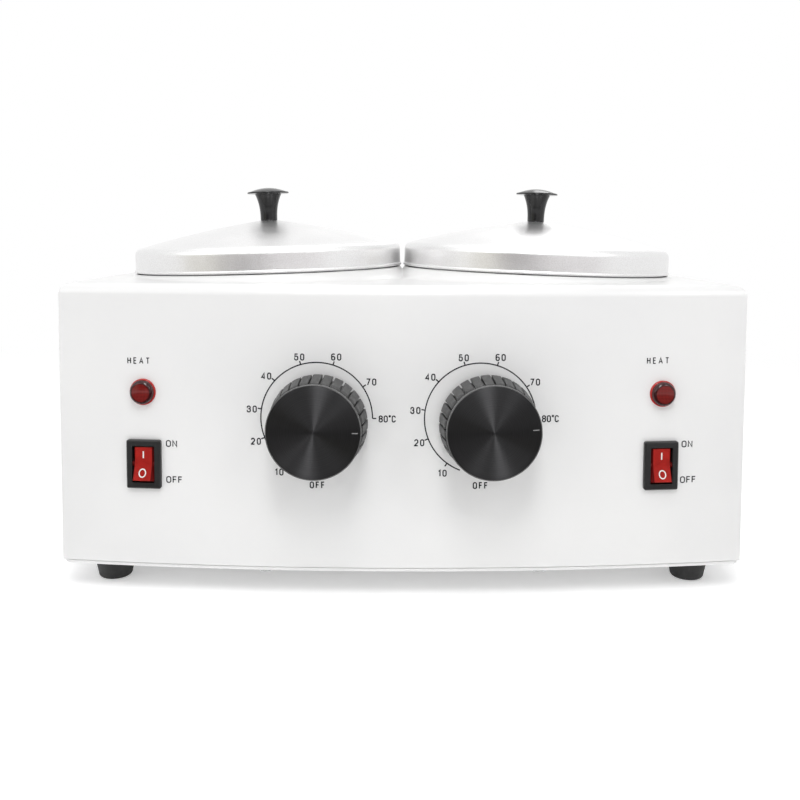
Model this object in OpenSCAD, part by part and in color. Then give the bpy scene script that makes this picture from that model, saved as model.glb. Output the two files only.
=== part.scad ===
// Double wax warmer: a bowed sheet-metal housing with two heated wells, two lift-out pots
// under domed lids, two thermostat dials, two rocker switches and two pilot lamps.
// X runs to the viewer's right, Y to the back and Z up. The origin lies on the ground,
// under the middle of the whole outline. Millimetres.

/* [Housing] */
// Width of the housing
body_w = 296; // [284:1:330]
// Depth of the housing, from the middle of its bowed front to its back
body_d = 170; // [168:1:200]
// Height of the housing, from the seam at the bottom to the top plate
body_h = 120.7; // [116:0.1:150]
// How far the middle of the front stands ahead of its ends
bow = 10.3; // [6:0.1:14]
// Radius of the folded edges round the top plate
fold_r = 5; // [3:0.5:8]
// Thickness of the painted steel sheet
wall = 1.2; // [0.8:0.1:1.6]
// Width of the flange that is turned in along the bottom edge
flange_w = 12; // [11:0.5:13]

/* [Base and feet] */
// Thickness of the base plate
base_t = 1.3; // [1:0.1:2]
// Gap of the dark seam between base plate and housing
seam_gap = 0.3; // [0.1:0.1:0.6]
// Chamfer on the corners of the base plate
base_chamfer = 2; // [1:0.5:4]
// Height of a foot
foot_h = 12; // [10:0.5:16]
// Diameter of a foot at the base plate
foot_top_d = 18.5; // [16:0.5:22]
// Diameter of a foot near the ground
foot_bottom_d = 15; // [14:0.2:17]
// Distance of a foot's centre from the side of the housing
foot_inset_x = 17.5; // [17:0.5:24]
// Distance of a foot's centre from the front or the back
foot_inset_y = 20; // [18:0.5:26]
// Vent slots in each of the two groups in the base plate
vent_count = 6; // [3:1:8]
// Length of a vent slot
vent_l = 34; // [20:1:40]

/* [Wells and pots] */
// Inner diameter of a heating well
well_d = 116; // [110:1:118]
// Height of a well's floor above the seam
well_floor_up = 48; // [40:0.5:49]
// Wall of a well
well_t = 1.5; // [1.2:0.1:2]
// Width of the well's flange beyond its wall
well_lip_w = 4.8; // [4.4:0.1:5.2]
// Thickness of the well's flange
well_lip_t = 1; // [0.8:0.1:1.4]
// Height of the raised collar round a well, at its middle
collar_h = 2.8; // [2.6:0.1:4]
// Lean of the collars, wells, pots and lids away from the middle
lean = 1.83; // [0.5:0.01:2]
// Thickness of the gasket between a collar and its well's flange
gasket_t = 0.6; // [0.4:0.1:0.8]
// Clearance between a pot and its well, all round
pot_gap = 0.6; // [0.4:0.1:1]
// Wall of a pot
pot_t = 1.2; // [1:0.1:1.5]
// Radius of the rolled bead on a pot's rim
bead_r = 1.6; // [1.2:0.1:1.8]
// How far a pot's rim stays inside the well's flange
rim_inset = 2.7; // [2.4:0.1:3]
// Height of a band heater
band_h = 36; // [24:1:40]
// Thickness of a band heater
band_t = 2.2; // [1.6:0.1:2.6]

/* [Lids] */
// Play between a pot's rim and the inside of the lid's skirt
lid_play = 3.5; // [3.3:0.1:5]
// Gap between a lid's edge and the gasket
lid_lift = 0.35; // [0.3:0.05:1]
// Thickness of the lid's sheet
lid_t = 1; // [0.8:0.1:1.2]
// Height of the straight part of the skirt
lid_skirt_h = 8.3; // [7.5:0.1:10]
// Radius of the lid's shoulder
lid_shoulder_r = 3.6; // [2.5:0.1:5]
// Height of a lid without its knob
lid_h = 24.1; // [23:0.1:28]
// Slope of the lid's dome beside the knob
lid_slope = 0.13; // [0.08:0.01:0.18]
// Radius of the rolled edge of the skirt
lid_roll_r = 0.7; // [0.6:0.05:0.9]
// Gap between the two lids where they meet
lid_gap = 0.8; // [0.7:0.1:2]
// Diameter of the lid knob's cap
lid_knob_d = 20.8; // [18:0.1:24]
// Height of a lid knob
lid_knob_h = 16.5; // [14:0.5:20]
// Diameter of the lid knob's foot
lid_knob_foot_d = 8.4; // [8:0.1:10]

/* [Dials] */
// Distance of a dial's axis from the middle
dial_x = 35.5; // [34:0.5:42]
// Height of a dial's axis above the seam
dial_z = 62.9; // [61.5:0.1:70]
// Gap between a dial knob and the front
dial_gap = 2.6; // [2.4:0.1:4]
// Length of a dial knob, with its disc
dial_len = 19.6; // [18:0.1:24]
// Diameter of the disc on a dial knob
disc_d = 37.5; // [34:0.1:40]
// Thickness of the disc
disc_t = 1.4; // [1:0.1:2]
// Height of the grip pads at their front end
pad_front = 0.7; // [0.6:0.1:1.2]
// Height of the grip pads at their back end
pad_back = 2; // [1.4:0.1:2.4]
// Number of grip pads round a knob
pad_count = 28; // [20:1:32]
// Width of the groove between two pads
pad_groove = 0.75; // [0.5:0.05:1]
// Diameter of the thermostat's shaft
shaft_d = 6; // [5:0.5:6]
// How far the left dial is turned down from its hottest mark
left_dial_turn = 0; // [0:0.5:270]
// How far the right dial is turned down from its hottest mark
right_dial_turn = 4.5; // [0:0.5:270]

/* [Switches] */
// Distance of a switch's middle from the side of the housing
switch_inset = 37.4; // [33:0.1:40]
// Height of a switch above the seam
switch_z = 43.5; // [38:0.1:46]
// Width of a switch bezel
bezel_w = 15; // [14.6:0.1:16]
// Height of a switch bezel
bezel_h = 21; // [20.8:0.1:24]
// Thickness of a switch bezel
bezel_t = 2; // [1.6:0.1:2.6]
// Width of a rocker
rocker_w = 9; // [8.4:0.1:9.4]
// Length of a rocker
rocker_l = 15; // [14:0.1:15.4]
// Tilt of a rocker to either side of its middle
rocker_tilt = 10; // [7:0.5:11]

/* [Pilot lamps] */
// Distance of a lamp's middle from the side of the housing
lamp_inset = 37; // [33:0.1:40]
// Height of a lamp above the seam
lamp_z = 74.5; // [70:0.1:84]
// Diameter of a lamp's flange
lamp_d = 11.3; // [11:0.1:14]
// How far a lamp stands out
lamp_out = 3.6; // [3:0.1:5]

/* [Cord gland] */
// Height of the gland above the seam
gland_z = 20; // [16:0.5:30]
// Bore of the gland
gland_bore_d = 7.2; // [6:0.1:8]
// How far the gland stands out of the back
gland_out = 10; // [7:0.5:14]

/* [Hidden] */
left = -1;
right = 1;
$fn = 72;
bow_fn = 1440;

// Clearances
face_gap = 0.3;   // between pieces that lie on each other but move apart
run_gap = 0.05;   // radial, round a turning shaft or pin
slip_gap = 0.2;   // round a piece pushed through a cut-out
panel_touch = 0.05; // between a flat back and the bowed front it sits on
tiny = 0.01;

// Heights and places
seam_z = foot_h + base_t + seam_gap;
top_z = seam_z + body_h;
front_out = dial_gap + dial_len;
front_y = -(front_out + body_d + gland_out) / 2 + front_out;
back_y = front_y + body_d;
bow_r = (pow(body_w / 2, 2) + pow(bow, 2)) / (2 * bow);
bow_half_angle = 1.3 * atan(body_w / 2 / (bow_r - body_d));
switch_x = body_w / 2 - switch_inset;
lamp_x = body_w / 2 - lamp_inset;

function panel_y(x) = front_y + bow_r - sqrt(bow_r * bow_r - x * x);
function splay(x) = asin(x / bow_r);
// How far the bowed sheet leaves a flat face of this half width
function bow_sag(half_width) = half_width * half_width / (2 * (bow_r - wall));
// Where a flat face of this half width lies against the inside of the front
function behind_front(half_width) = -wall - bow_sag(half_width) - panel_touch;

// Puts children on the front: their X runs along it, Y up and Z straight out
module on_front(x, z_above_seam) {
    translate([x, panel_y(x), seam_z + z_above_seam])
        rotate([0, 0, splay(x)])
            rotate([90, 0, 0])
                children();
}

well_r = well_d / 2;
well_out_r = well_r + well_t;
well_lip_r = well_out_r + well_lip_w;
well_hole_r = well_out_r + 2 * slip_gap;
pot_rim_r = well_lip_r - rim_inset;
lid_in_r = pot_rim_r + lid_play;
lid_skirt_r = lid_in_r + lid_t;
lid_roll_x = lid_skirt_r - lid_roll_r / 4;
lid_rim_r = lid_roll_x + lid_roll_r;
collar_r = lid_skirt_r - 0.6;
collar_z = top_z + collar_h;
collar_edge = 0.5;   // radius of the collar's outer edge
collar_root = 8;     // how far a collar's wall reaches down, into the top plate
well_x = lid_rim_r + lid_gap / 2;
well_y = (front_y + back_y) / 2;

// Puts children on the leaning axis of a well, its pot and its lid: Z up from the collar's top
module on_well(s) {
    translate([s * well_x, well_y, collar_z]) rotate([0, s * lean, 0]) children();
}

// Housing ------------------------------------------------------------------

// Half of an upright section from its middle to w, its top outer corner rounded
module shoulder_section(w, z0, z1, r) {
    translate([0, z0]) square([w - r, z1 - z0]);
    translate([0, z0]) square([w, z1 - z0 - r]);
    translate([w - r, z1 - r]) circle(r);
}

// The housing's outer form, drawn in by d, from z0 up to the top plate
module body_form(d, z0) {
    z1 = top_z - d;
    r = fold_r - d;
    below = 5;
    mid_y = (front_y + back_y) / 2;
    intersection() {
        translate([0, front_y + bow_r, 0])
            rotate([0, 0, -90 - bow_half_angle])
                rotate_extrude(angle = 2 * bow_half_angle, $fn = bow_fn)
                    shoulder_section(bow_r - d, z0, z1, r);
        translate([0, back_y + below, 0])
            rotate([90, 0, 0])
                linear_extrude(body_d + 2 * below)
                    for (m = [0, 1])
                        mirror([m, 0]) shoulder_section(body_w / 2 - d, z0 - below, z1, r);
        translate([-body_w / 2 - below, mid_y, 0])
            rotate([90, 0, 90])
                linear_extrude(body_w + 2 * below) {
                    shoulder_section(body_d / 2 - d, z0 - below, z1, r);
                    translate([-body_d, z0 - below]) square([body_d + tiny, z1 - z0 + below]);
                }
    }
}

// The housing seen from above, drawn in by d
module plan(d) {
    intersection() {
        translate([0, front_y + bow_r]) circle(bow_r - d, $fn = bow_fn);
        translate([-body_w / 2 + d, front_y - 1]) square([body_w - 2 * d, body_d - d + 1]);
    }
}

// Fixing screws of the base plate, in the middle of the housing's bottom flange
base_screw_d = 2.9;
base_screw_in = flange_w / 2;
base_screw_places = [
    for (s = [left, right]) each [
        [s * (body_w / 2 - base_screw_in), front_y + body_d * 0.36],
        [s * (body_w / 2 - base_screw_in), front_y + body_d * 0.72],
        [s * body_w * 0.2, panel_y(body_w * 0.2) + base_screw_in],
        [s * body_w * 0.27, back_y - base_screw_in]
    ]
];

thermostat_screw_x = 13;
thermostat_screw_d = 4;
bush_d = 9;
switch_case = [13.2, 19.2];
lamp_barrel_d = 9.6;
gland_d = 12.4;

module housing() {
    color("white")
        difference() {
            union() {
                body_form(0, seam_z);
                for (s = [left, right])
                    on_well(s)
                        rotate_extrude($fn = 180) shoulder_section(collar_r, -collar_root, 0, collar_edge);
            }
            body_form(wall, seam_z + wall);
            translate([0, 0, seam_z - 1]) linear_extrude(wall + 2) plan(flange_w);
            for (s = [left, right]) {
                on_well(s) {
                    translate([0, 0, -2 * collar_root])
                        cylinder(r = collar_r - wall, h = 2 * collar_root - wall, $fn = 180);
                    translate([0, 0, -2 * wall]) cylinder(r = well_hole_r, h = 3 * wall);
                }
                on_front(s * dial_x, dial_z) {
                    translate([0, 0, -5]) cylinder(d = bush_d + 2 * slip_gap, h = 10);
                    for (m = [left, right])
                        translate([m * thermostat_screw_x, 0, -5])
                            cylinder(d = thermostat_screw_d + slip_gap, h = 10);
                }
                on_front(s * switch_x, switch_z)
                    translate([-switch_case.x / 2 - slip_gap, -switch_case.y / 2 - slip_gap, -5])
                        cube([switch_case.x + 2 * slip_gap, switch_case.y + 2 * slip_gap, 10]);
                on_front(s * lamp_x, lamp_z)
                    translate([0, 0, -5]) cylinder(d = lamp_barrel_d + 2 * slip_gap, h = 10);
            }
            translate([0, back_y + 5, seam_z + gland_z])
                rotate([90, 0, 0]) cylinder(d = gland_d + 2 * slip_gap, h = 10);
            for (p = base_screw_places)
                translate([p.x, p.y, seam_z - 1]) cylinder(d = base_screw_d + 2 * run_gap, h = wall + 2);
        }
}

// Base ---------------------------------------------------------------------

base_in = 0.4;
seam_in = 1.6;       // how far the dark seam reaches in
vent_w = 3;
vent_pitch = 9;
foot_x = body_w / 2 - foot_inset_x;
foot_front_y = panel_y(foot_x) + foot_inset_y;
foot_back_y = back_y - foot_inset_y;
foot_screw_d = 4;
foot_places = [for (s = [left, right]) each [[s * foot_x, foot_front_y], [s * foot_x, foot_back_y]]];
block_w = 34;
block_d = 18;
block_h = 14;
block_in = 46;       // from the back to the terminal block's middle
block_y = back_y - block_in;
block_screw_x = 12;
block_screw_d = 3;
block_screw_in = 5.5;
earth_x = 34;
earth_screw_d = 4;
earth_screw_l = 14;

module vent_slot() {
    for (e = [-1, 1]) translate([0, e * (vent_l - vent_w) / 2]) circle(d = vent_w);
    square([vent_w, vent_l - vent_w], center = true);
}

module base_holes() {
    for (p = base_screw_places) translate(p) circle(d = base_screw_d + 2 * slip_gap);
    for (p = foot_places) translate(p) circle(d = foot_screw_d + 2 * slip_gap);
    for (s = [left, right], i = [0:vent_count - 1])
        translate([s * well_x + (i - (vent_count - 1) / 2) * vent_pitch, well_y]) vent_slot();
    for (m = [left, right])
        translate([m * block_screw_x, block_y]) circle(d = block_screw_d + 2 * slip_gap);
    translate([earth_x, block_y]) circle(d = earth_screw_d + 2 * slip_gap);
}

module base_plate() {
    corner_x = body_w / 2 - base_in;
    corners = [[corner_x, panel_y(corner_x) + base_in], [corner_x, back_y - base_in]];
    color("white")
        translate([0, 0, foot_h]) {
            linear_extrude(base_t)
                difference() {
                    plan(base_in);
                    for (s = [left, right], p = corners)
                        translate([s * p.x, p.y]) rotate(45) square(base_chamfer * sqrt(2), center = true);
                    base_holes();
                }
            linear_extrude(base_t + seam_gap)
                difference() {
                    plan(base_in + seam_in);
                    base_holes();
                }
        }
}

foot_round = 2;
foot_sink_d = 7.8;
foot_sink_h = 6;
foot_nut_h = 3.2;
nut_d = 8.1;         // across the corners of an M4 nut

module foot(p) {
    top_r = foot_top_d / 2;
    low_r = foot_bottom_d / 2;
    color("#1c1c1c")
        translate([p.x, p.y, 0])
            difference() {
                rotate_extrude()
                    polygon([
                        [0, 0], [low_r - foot_round, 0],
                        for (a = [-75:15:0])
                            [low_r - foot_round + foot_round * cos(a), foot_round * (1 + sin(a))],
                        [top_r, foot_h - 1.5], [top_r, foot_h], [0, foot_h]
                    ]);
                translate([0, 0, -1]) cylinder(d = foot_sink_d, h = foot_sink_h + 1);
                cylinder(d = foot_screw_d + 2 * slip_gap, h = foot_h + 1);
            }
}

module foot_screws() {
    head_h = 2.4;
    color("silver")
        for (p = foot_places)
            translate([p.x, p.y, foot_sink_h]) {
                translate([0, 0, -head_h]) cylinder(d = 7, h = head_h);
                cylinder(d = foot_screw_d, h = seam_z - foot_sink_h + foot_nut_h + 1);
            }
}

module nut(bore_d, h) {
    difference() {
        cylinder(d = nut_d, h = h, $fn = 6);
        translate([0, 0, -1]) cylinder(d = bore_d, h = h + 2);
    }
}

module foot_nuts() {
    color("silver")
        for (p = foot_places)
            translate([p.x, p.y, seam_z]) nut(foot_screw_d + 2 * run_gap, foot_nut_h);
}

module base_screws() {
    head_h = 1.9;
    color("silver")
        for (p = base_screw_places)
            translate([p.x, p.y, foot_h]) {
                translate([0, 0, -head_h]) cylinder(d = 5.4, h = head_h);
                cylinder(d = base_screw_d, h = base_t + seam_gap + wall + 3);
            }
}

// Wells and heaters --------------------------------------------------------

well_floor_t = 2;
well_corner_r = 6;
well_floor_z = seam_z + well_floor_up - collar_z;    // from the collar's top, as all heights on_well
well_bottom_z = well_floor_z - well_floor_t;
well_top = gasket_t + well_lip_t;

// Half section of a round cup: outer radius r, from z0 to z1, bottom edge rounded by c
module cup_section(r, z0, z1, c) {
    translate([0, z0 + c]) square([r, z1 - z0 - c]);
    translate([0, z0]) square([r - c, z1 - z0]);
    translate([r - c, z0 + c]) circle(c);
}

module well(s) {
    color("silver")
        on_well(s)
            rotate_extrude()
                difference() {
                    union() {
                        cup_section(well_out_r, well_bottom_z, well_top, well_corner_r);
                        translate([well_out_r - 1, gasket_t]) square([well_lip_w + 1, well_lip_t]);
                    }
                    cup_section(well_r, well_floor_z, well_top + 1, well_corner_r - well_t);
                }
}

module gasket(s) {
    color("#202020")
        on_well(s)
            difference() {
                cylinder(r = collar_r - collar_edge, h = gasket_t, $fn = 180);
                translate([0, 0, -1]) cylinder(r = well_hole_r, h = gasket_t + 2);
            }
}

ring_in_r = well_out_r + run_gap;
ring_h = 5;

module well_ring(s) {
    sheet = 1.2;
    color("darkgray")
        on_well(s)
            rotate_extrude()
                translate([ring_in_r, -wall - ring_h]) {
                    square([sheet, ring_h]);
                    translate([0, ring_h - sheet]) square([collar_r - wall - slip_gap - ring_in_r, sheet]);
                }
}

band_in_r = well_out_r + run_gap;
band_out_r = band_in_r + band_t;
band_z = well_bottom_z + well_corner_r + 4;
band_angle = 45;      // the clamp lies to the outer back of a well
band_split = 6;
band_ear = 9;
band_ear_t = 1.6;
band_screw_d = 4;

// Turns children so that their X axis points from the well's axis to the heater's clamp
module at_clamp(s) {
    on_well(s) rotate([0, 0, 90 - s * band_angle]) children();
}

module heater_band(s) {
    ear_z = band_z + band_h / 2;
    color("tan")
        at_clamp(s)
            difference() {
                union() {
                    translate([0, 0, band_z]) cylinder(r = band_out_r, h = band_h);
                    translate([0, -band_grip, ear_z - 6]) cube([band_out_r + band_ear, 2 * band_grip, 12]);
                    for (a = [-24, 24])
                        rotate([0, 0, a])
                            translate([band_out_r - 1, 0, ear_z]) rotate([0, 90, 0]) cylinder(d = 7, h = 8);
                }
                translate([0, 0, band_z - 1]) cylinder(r = band_in_r, h = band_h + 2);
                translate([0, -band_split / 2, band_z - 1])
                    cube([band_out_r + band_ear + 1, band_split, band_h + 2]);
                translate([band_out_r + band_ear / 2, -band_grip - 1, ear_z])
                    rotate([-90, 0, 0]) cylinder(d = band_screw_d + 2 * slip_gap, h = 2 * band_grip + 2);
            }
}

band_grip = band_split / 2 + band_ear_t;

// Turns children along the clamp's screw, from the middle between the ears
module along_clamp(s) {
    at_clamp(s)
        translate([band_out_r + band_ear / 2, 0, band_z + band_h / 2]) rotate([-90, 0, 0]) children();
}

module band_screws() {
    head_d = 7.2;
    head_h = 2.4;
    past_ears = 5;
    color("silver")
        for (s = [left, right])
            along_clamp(s) {
                translate([0, 0, -band_grip - head_h]) cylinder(d = head_d, h = head_h);
                translate([0, 0, -band_grip]) cylinder(d = band_screw_d, h = 2 * band_grip + past_ears);
            }
}

module band_nuts() {
    color("silver")
        for (s = [left, right])
            along_clamp(s) translate([0, 0, band_grip]) nut(band_screw_d + 2 * run_gap, 3.2);
}

// Lids ---------------------------------------------------------------------

lid_z = gasket_t + lid_lift;
lid_turn = 75;                 // degrees that the shoulder's arc turns
lid_arc_x = lid_skirt_r - lid_shoulder_r;
lid_dome_r = lid_arc_x + lid_shoulder_r * cos(lid_turn);
lid_dome_z = lid_skirt_h + lid_shoulder_r * sin(lid_turn);
lid_sheet_z = lid_t / sin(lid_turn);   // the sheet's thickness measured upright
lid_seat_r = lid_knob_foot_d / 2 + 0.3;
lid_curve = (lid_h - lid_dome_z - lid_slope * (lid_dome_r - lid_seat_r))
    / (pow(lid_dome_r, 2) - pow(lid_seat_r, 2));
lid_steps = 16;

// Height of the dome's top above the lid's rim at radius r
function dome_z(r) = lid_h - lid_slope * (r - lid_seat_r) - lid_curve * (r * r - lid_seat_r * lid_seat_r);

// Puts children on a lid: Z up its axis from the middle of its rim
module on_lid(s) {
    on_well(s) translate([0, 0, lid_z]) children();
}

module lid(s) {
    inner_arc = lid_shoulder_r - lid_t;
    dome = [for (i = [0:lid_steps]) lid_seat_r + (lid_dome_r - lid_seat_r) * i / lid_steps];
    arc = [for (i = [1:6]) lid_turn * (1 - i / 6)];
    roll = [for (i = [0:12]) 75.5 - i * 255.5 / 12];
    color("#d8d8dc")
        on_lid(s)
            difference() {
                rotate_extrude($fn = 144)
                    polygon([
                        [0, lid_h],
                        for (r = dome) [r, dome_z(r)],
                        for (a = arc)
                            [lid_arc_x + lid_shoulder_r * cos(a), lid_skirt_h + lid_shoulder_r * sin(a)],
                        for (a = roll) [lid_roll_x + lid_roll_r * cos(a), lid_roll_r * (1 + sin(a))],
                        [lid_in_r, lid_roll_r],
                        for (i = [len(arc) - 1:-1:0])
                            [lid_arc_x + inner_arc * cos(arc[i]), lid_skirt_h + inner_arc * sin(arc[i])],
                        for (i = [lid_steps:-1:0]) [dome[i] - 0.2, dome_z(dome[i]) - lid_sheet_z],
                        [0, lid_h - lid_sheet_z]
                    ]);
                translate([0, 0, lid_h - 4]) cylinder(d = lid_screw_d + 2 * slip_gap, h = 8);
            }
}

lid_screw_d = 4;
lid_screw_in = 9;
lid_cap_h = 2.9;
lid_cap_edge = 0.4;
knob_steps = 10;

module lid_knob(s) {
    foot_r = lid_knob_foot_d / 2;
    cap_r = lid_knob_d / 2;
    neck_h = lid_knob_h - lid_cap_h;
    flare = 0.245 * lid_knob_d / 2;
    color("#161616")
        on_lid(s)
            translate([0, 0, lid_h])
                difference() {
                    rotate_extrude()
                        polygon([
                            [0, 0],
                            for (i = [0:knob_steps])
                                [foot_r + flare * pow(i / knob_steps, 2.6), neck_h * i / knob_steps],
                            [cap_r - 0.3, neck_h], [cap_r, neck_h + lid_cap_edge / 2],
                            for (i = [knob_steps:-1:0])
                                [cap_r * i / knob_steps, neck_h + lid_cap_edge
                                    + (lid_cap_h - lid_cap_edge) * (1 - pow(i / knob_steps, 2))]
                        ]);
                    translate([0, 0, -1]) cylinder(d = lid_screw_d + 2 * run_gap, h = lid_screw_in + 2);
                }
}

module lid_screw(s) {
    head_h = 2.4;
    color("silver")
        on_lid(s)
            translate([0, 0, lid_h - lid_sheet_z]) {
                translate([0, 0, -head_h]) cylinder(d = 8, h = head_h);
                cylinder(d = lid_screw_d, h = lid_sheet_z + lid_screw_in);
            }
}

// Pots ---------------------------------------------------------------------

pot_r = well_r - pot_gap;
pot_bead_x = pot_rim_r - bead_r;
pot_floor_t = 1.6;
pot_bottom_z = well_floor_z + face_gap;
pot_flare_z = well_top + 1.5;
// The rim's bead stays a small gap under the dome of the lid
lid_slope_at_bead = lid_slope + 2 * lid_curve * pot_bead_x;
pot_bead_z = lid_z + dome_z(pot_bead_x) - lid_sheet_z
    - (bead_r + face_gap) * sqrt(1 + pow(lid_slope_at_bead, 2));

module pot(s) {
    color("#cfd0d2")
        on_well(s)
            rotate_extrude() {
                difference() {
                    union() {
                        cup_section(pot_r, pot_bottom_z, pot_flare_z, well_corner_r - pot_gap);
                        polygon([
                            [0, pot_flare_z - 1], [pot_r, pot_flare_z - 1], [pot_r, pot_flare_z],
                            [pot_bead_x + pot_t / 2, pot_bead_z], [0, pot_bead_z]
                        ]);
                    }
                    cup_section(pot_r - pot_t, pot_bottom_z + pot_floor_t, pot_flare_z,
                                well_corner_r - pot_gap - pot_t);
                    polygon([
                        [-1, pot_flare_z - 1], [pot_r - pot_t, pot_flare_z - 1], [pot_r - pot_t, pot_flare_z],
                        [pot_bead_x - pot_t / 2, pot_bead_z], [-1, pot_bead_z + 1]
                    ]);
                }
                translate([pot_bead_x, pot_bead_z]) circle(bead_r, $fn = 32);
            }
}

// Thermostats and dials ----------------------------------------------------

case_w = 34;
case_h = 26;
case_t = 13;
case_front = behind_front(case_w / 2);
case_back = case_front - case_t;
bell_d = 22;         // the round back of a thermostat's case
bell_h = 3;
shaft_in = 10;
bush_out = 0.8;
thermostat_screw_in = 6;
thermostat_head_d = 6.6;
tube_in = 5;         // from the back of the thermostat's case to its capillary

module thermostat(s) {
    color("lightgray")
        on_front(s * dial_x, dial_z)
            difference() {
                union() {
                    translate([-case_w / 2, -case_h / 2, case_back]) cube([case_w, case_h, case_t]);
                    translate([0, 0, case_front - 1]) cylinder(d = bush_d, h = 1 - case_front + bush_out);
                    translate([0, 0, case_back - bell_h]) cylinder(d = bell_d, h = bell_h + 1);
                }
                translate([0, 0, case_front - shaft_in])
                    cylinder(d = shaft_d + 2 * run_gap, h = shaft_in - case_front + bush_out + 1);
                for (m = [left, right])
                    translate([m * thermostat_screw_x, 0, case_front - thermostat_screw_in - 2])
                        cylinder(d = thermostat_screw_d + 2 * run_gap, h = thermostat_screw_in + 3);
            }
}

module thermostat_screws() {
    head_h = 2;
    head_z = panel_touch - bow_sag(thermostat_screw_x - thermostat_head_d / 2);
    color("silver")
        for (s = [left, right])
            on_front(s * dial_x, dial_z)
                for (m = [left, right])
                    translate([m * thermostat_screw_x, 0, head_z]) {
                        translate([0, 0, case_front - thermostat_screw_in - head_z])
                            cylinder(d = thermostat_screw_d,
                                     h = thermostat_screw_in + 1 - case_front + head_z);
                        cylinder(d = thermostat_head_d, h = head_h);
                    }
}

grip_len = dial_len - disc_t;
disc_r = disc_d / 2;
core_r = disc_r - 0.15;
hub_r = 5.6;
hub_depth = 13;
shaft_top = dial_gap + hub_depth + 2;
shaft_flat = 0.5;    // how much the flat takes off the shaft's side
notch = 0.8;         // length of the notch between the pads and the front rim
rim_t = 0.5;         // thickness of the rim that holds the disc

// Puts children on a dial's axis, turned as far as the dial is; Z points out
module on_dial(s) {
    on_front(s * dial_x, dial_z) rotate([0, 0, s == left ? left_dial_turn : right_dial_turn]) children();
}

module flatted(d, z0, z1, flat_z) {
    difference() {
        translate([0, 0, z0]) cylinder(d = d, h = z1 - z0);
        translate([-d, d / 2 - shaft_flat, flat_z]) cube([2 * d, d, z1 - flat_z + 1]);
    }
}

module shaft(s) {
    color("silver")
        on_dial(s) flatted(shaft_d, case_front - shaft_in + face_gap, shaft_top, bush_out + 1.5);
}

// The pads: a ring that tapers to the front, cut through by the grooves
module grip_pads(z0, z1) {
    r_back = core_r + pad_back;
    r_front = core_r + pad_front;
    intersection() {
        linear_extrude(grip_len)
            difference() {
                circle(r_back + 1);
                for (i = [0:pad_count - 1])
                    rotate(360 / pad_count * (i + 0.5))
                        translate([core_r - 1, -pad_groove / 2]) square([pad_back + 4, pad_groove]);
            }
        rotate_extrude()
            polygon([
                [0, z0], [r_back - 0.3, z0], [r_back, z0 + 0.5],
                [r_front + 0.15, z1 - 0.6], [r_front - 0.2, z1], [0, z1]
            ]);
    }
}

module dial_grip(s) {
    pads_end = grip_len - rim_t - notch;
    color("#232323")
        on_dial(s)
            translate([0, 0, dial_gap])
                difference() {
                    union() {
                        rotate_extrude()
                            polygon([
                                [0, 0], [core_r, 0], [core_r, pads_end], [core_r - 0.6, pads_end],
                                [core_r - 0.6, grip_len - rim_t], [disc_r + 0.15, grip_len - rim_t],
                                [disc_r + 0.15, grip_len], [0, grip_len]
                            ]);
                        grip_pads(0.8, pads_end);
                        for (i = [0:pad_count - 1])
                            rotate([0, 0, 360 / pad_count * (i + 0.5)])
                                translate([core_r - 1, -0.25, pads_end - tiny])
                                    cube([1, 0.5, notch + 2 * tiny]);
                    }
                    difference() {
                        translate([0, 0, -1]) cylinder(r = core_r - 1.6, h = hub_depth + 1);
                        translate([0, 0, 1]) cylinder(r = hub_r, h = hub_depth);
                        for (a = [0, 90])
                            rotate([0, 0, a])
                                translate([-core_r, -0.7, 5]) cube([2 * core_r, 1.4, hub_depth]);
                    }
                    translate([0, 0, -dial_gap])
                        flatted(shaft_d + 2 * run_gap, 0, shaft_top + face_gap, -1);
                }
}

pointer_l = 2.5;
pointer_w = 0.5;
pointer_t = 0.3;
pointer_in = 0.6;    // from the disc's edge to the pointer's outer end

// The pointer's slab, larger by gap at its sides, with its front at the disc's face
module pointer_form(gap) {
    translate([disc_r - pointer_in - pointer_l - gap, -pointer_w / 2 - gap, front_out - pointer_t])
        cube([pointer_l + 2 * gap, pointer_w + 2 * gap, pointer_t + gap]);
}

module dial_disc(s) {
    edge = 0.4;
    color("#202022")
        on_dial(s)
            difference() {
                translate([0, 0, dial_gap + grip_len])
                    rotate_extrude($fn = 144)
                        polygon([
                            [0, 0], [disc_r, 0], [disc_r, disc_t - edge], [disc_r - edge, disc_t], [0, disc_t]
                        ]);
                pointer_form(0.02);
            }
}

module pointer(s) {
    color("white") on_dial(s) pointer_form(0);
}

tube_d = 2;
tube_bend = 4;
bulb_d = 6;
bulb_l = 52;
bulb_y = well_y - bulb_l / 2;
tube_x = dial_x + (case_back + tube_in) * sin(splay(dial_x));
tube_y = panel_y(dial_x) - (case_back + tube_in) * cos(splay(dial_x));
// The bulb's middle on the leaning axis of the well, and its height in the part
bulb_drop = well_bottom_z - bulb_d / 2 - panel_touch;
bulb_side = (tube_x - well_x - bulb_drop * sin(lean)) / cos(lean);
bulb_z = collar_z - bulb_side * sin(lean) + bulb_drop * cos(lean);

// From the thermostat's case straight down, round a quarter bend and back to the bulb under the well
module capillary(s) {
    case_bottom = seam_z + dial_z - case_h / 2;
    bend_z = bulb_z + tube_bend;
    color("peru")
        translate([s * tube_x, tube_y, 0]) {
            translate([0, 0, bend_z]) cylinder(d = tube_d, h = case_bottom - bend_z);
            translate([0, tube_bend, bend_z])
                rotate([0, 90, 0])
                    rotate([0, 0, -90])
                        rotate_extrude(angle = 90) translate([tube_bend, 0]) circle(d = tube_d);
            translate([0, tube_bend, bulb_z])
                rotate([-90, 0, 0]) cylinder(d = tube_d, h = bulb_y - tube_y - tube_bend + 1);
            translate([0, bulb_y - tube_y, bulb_z]) rotate([-90, 0, 0]) cylinder(d = bulb_d, h = bulb_l);
        }
}

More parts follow.
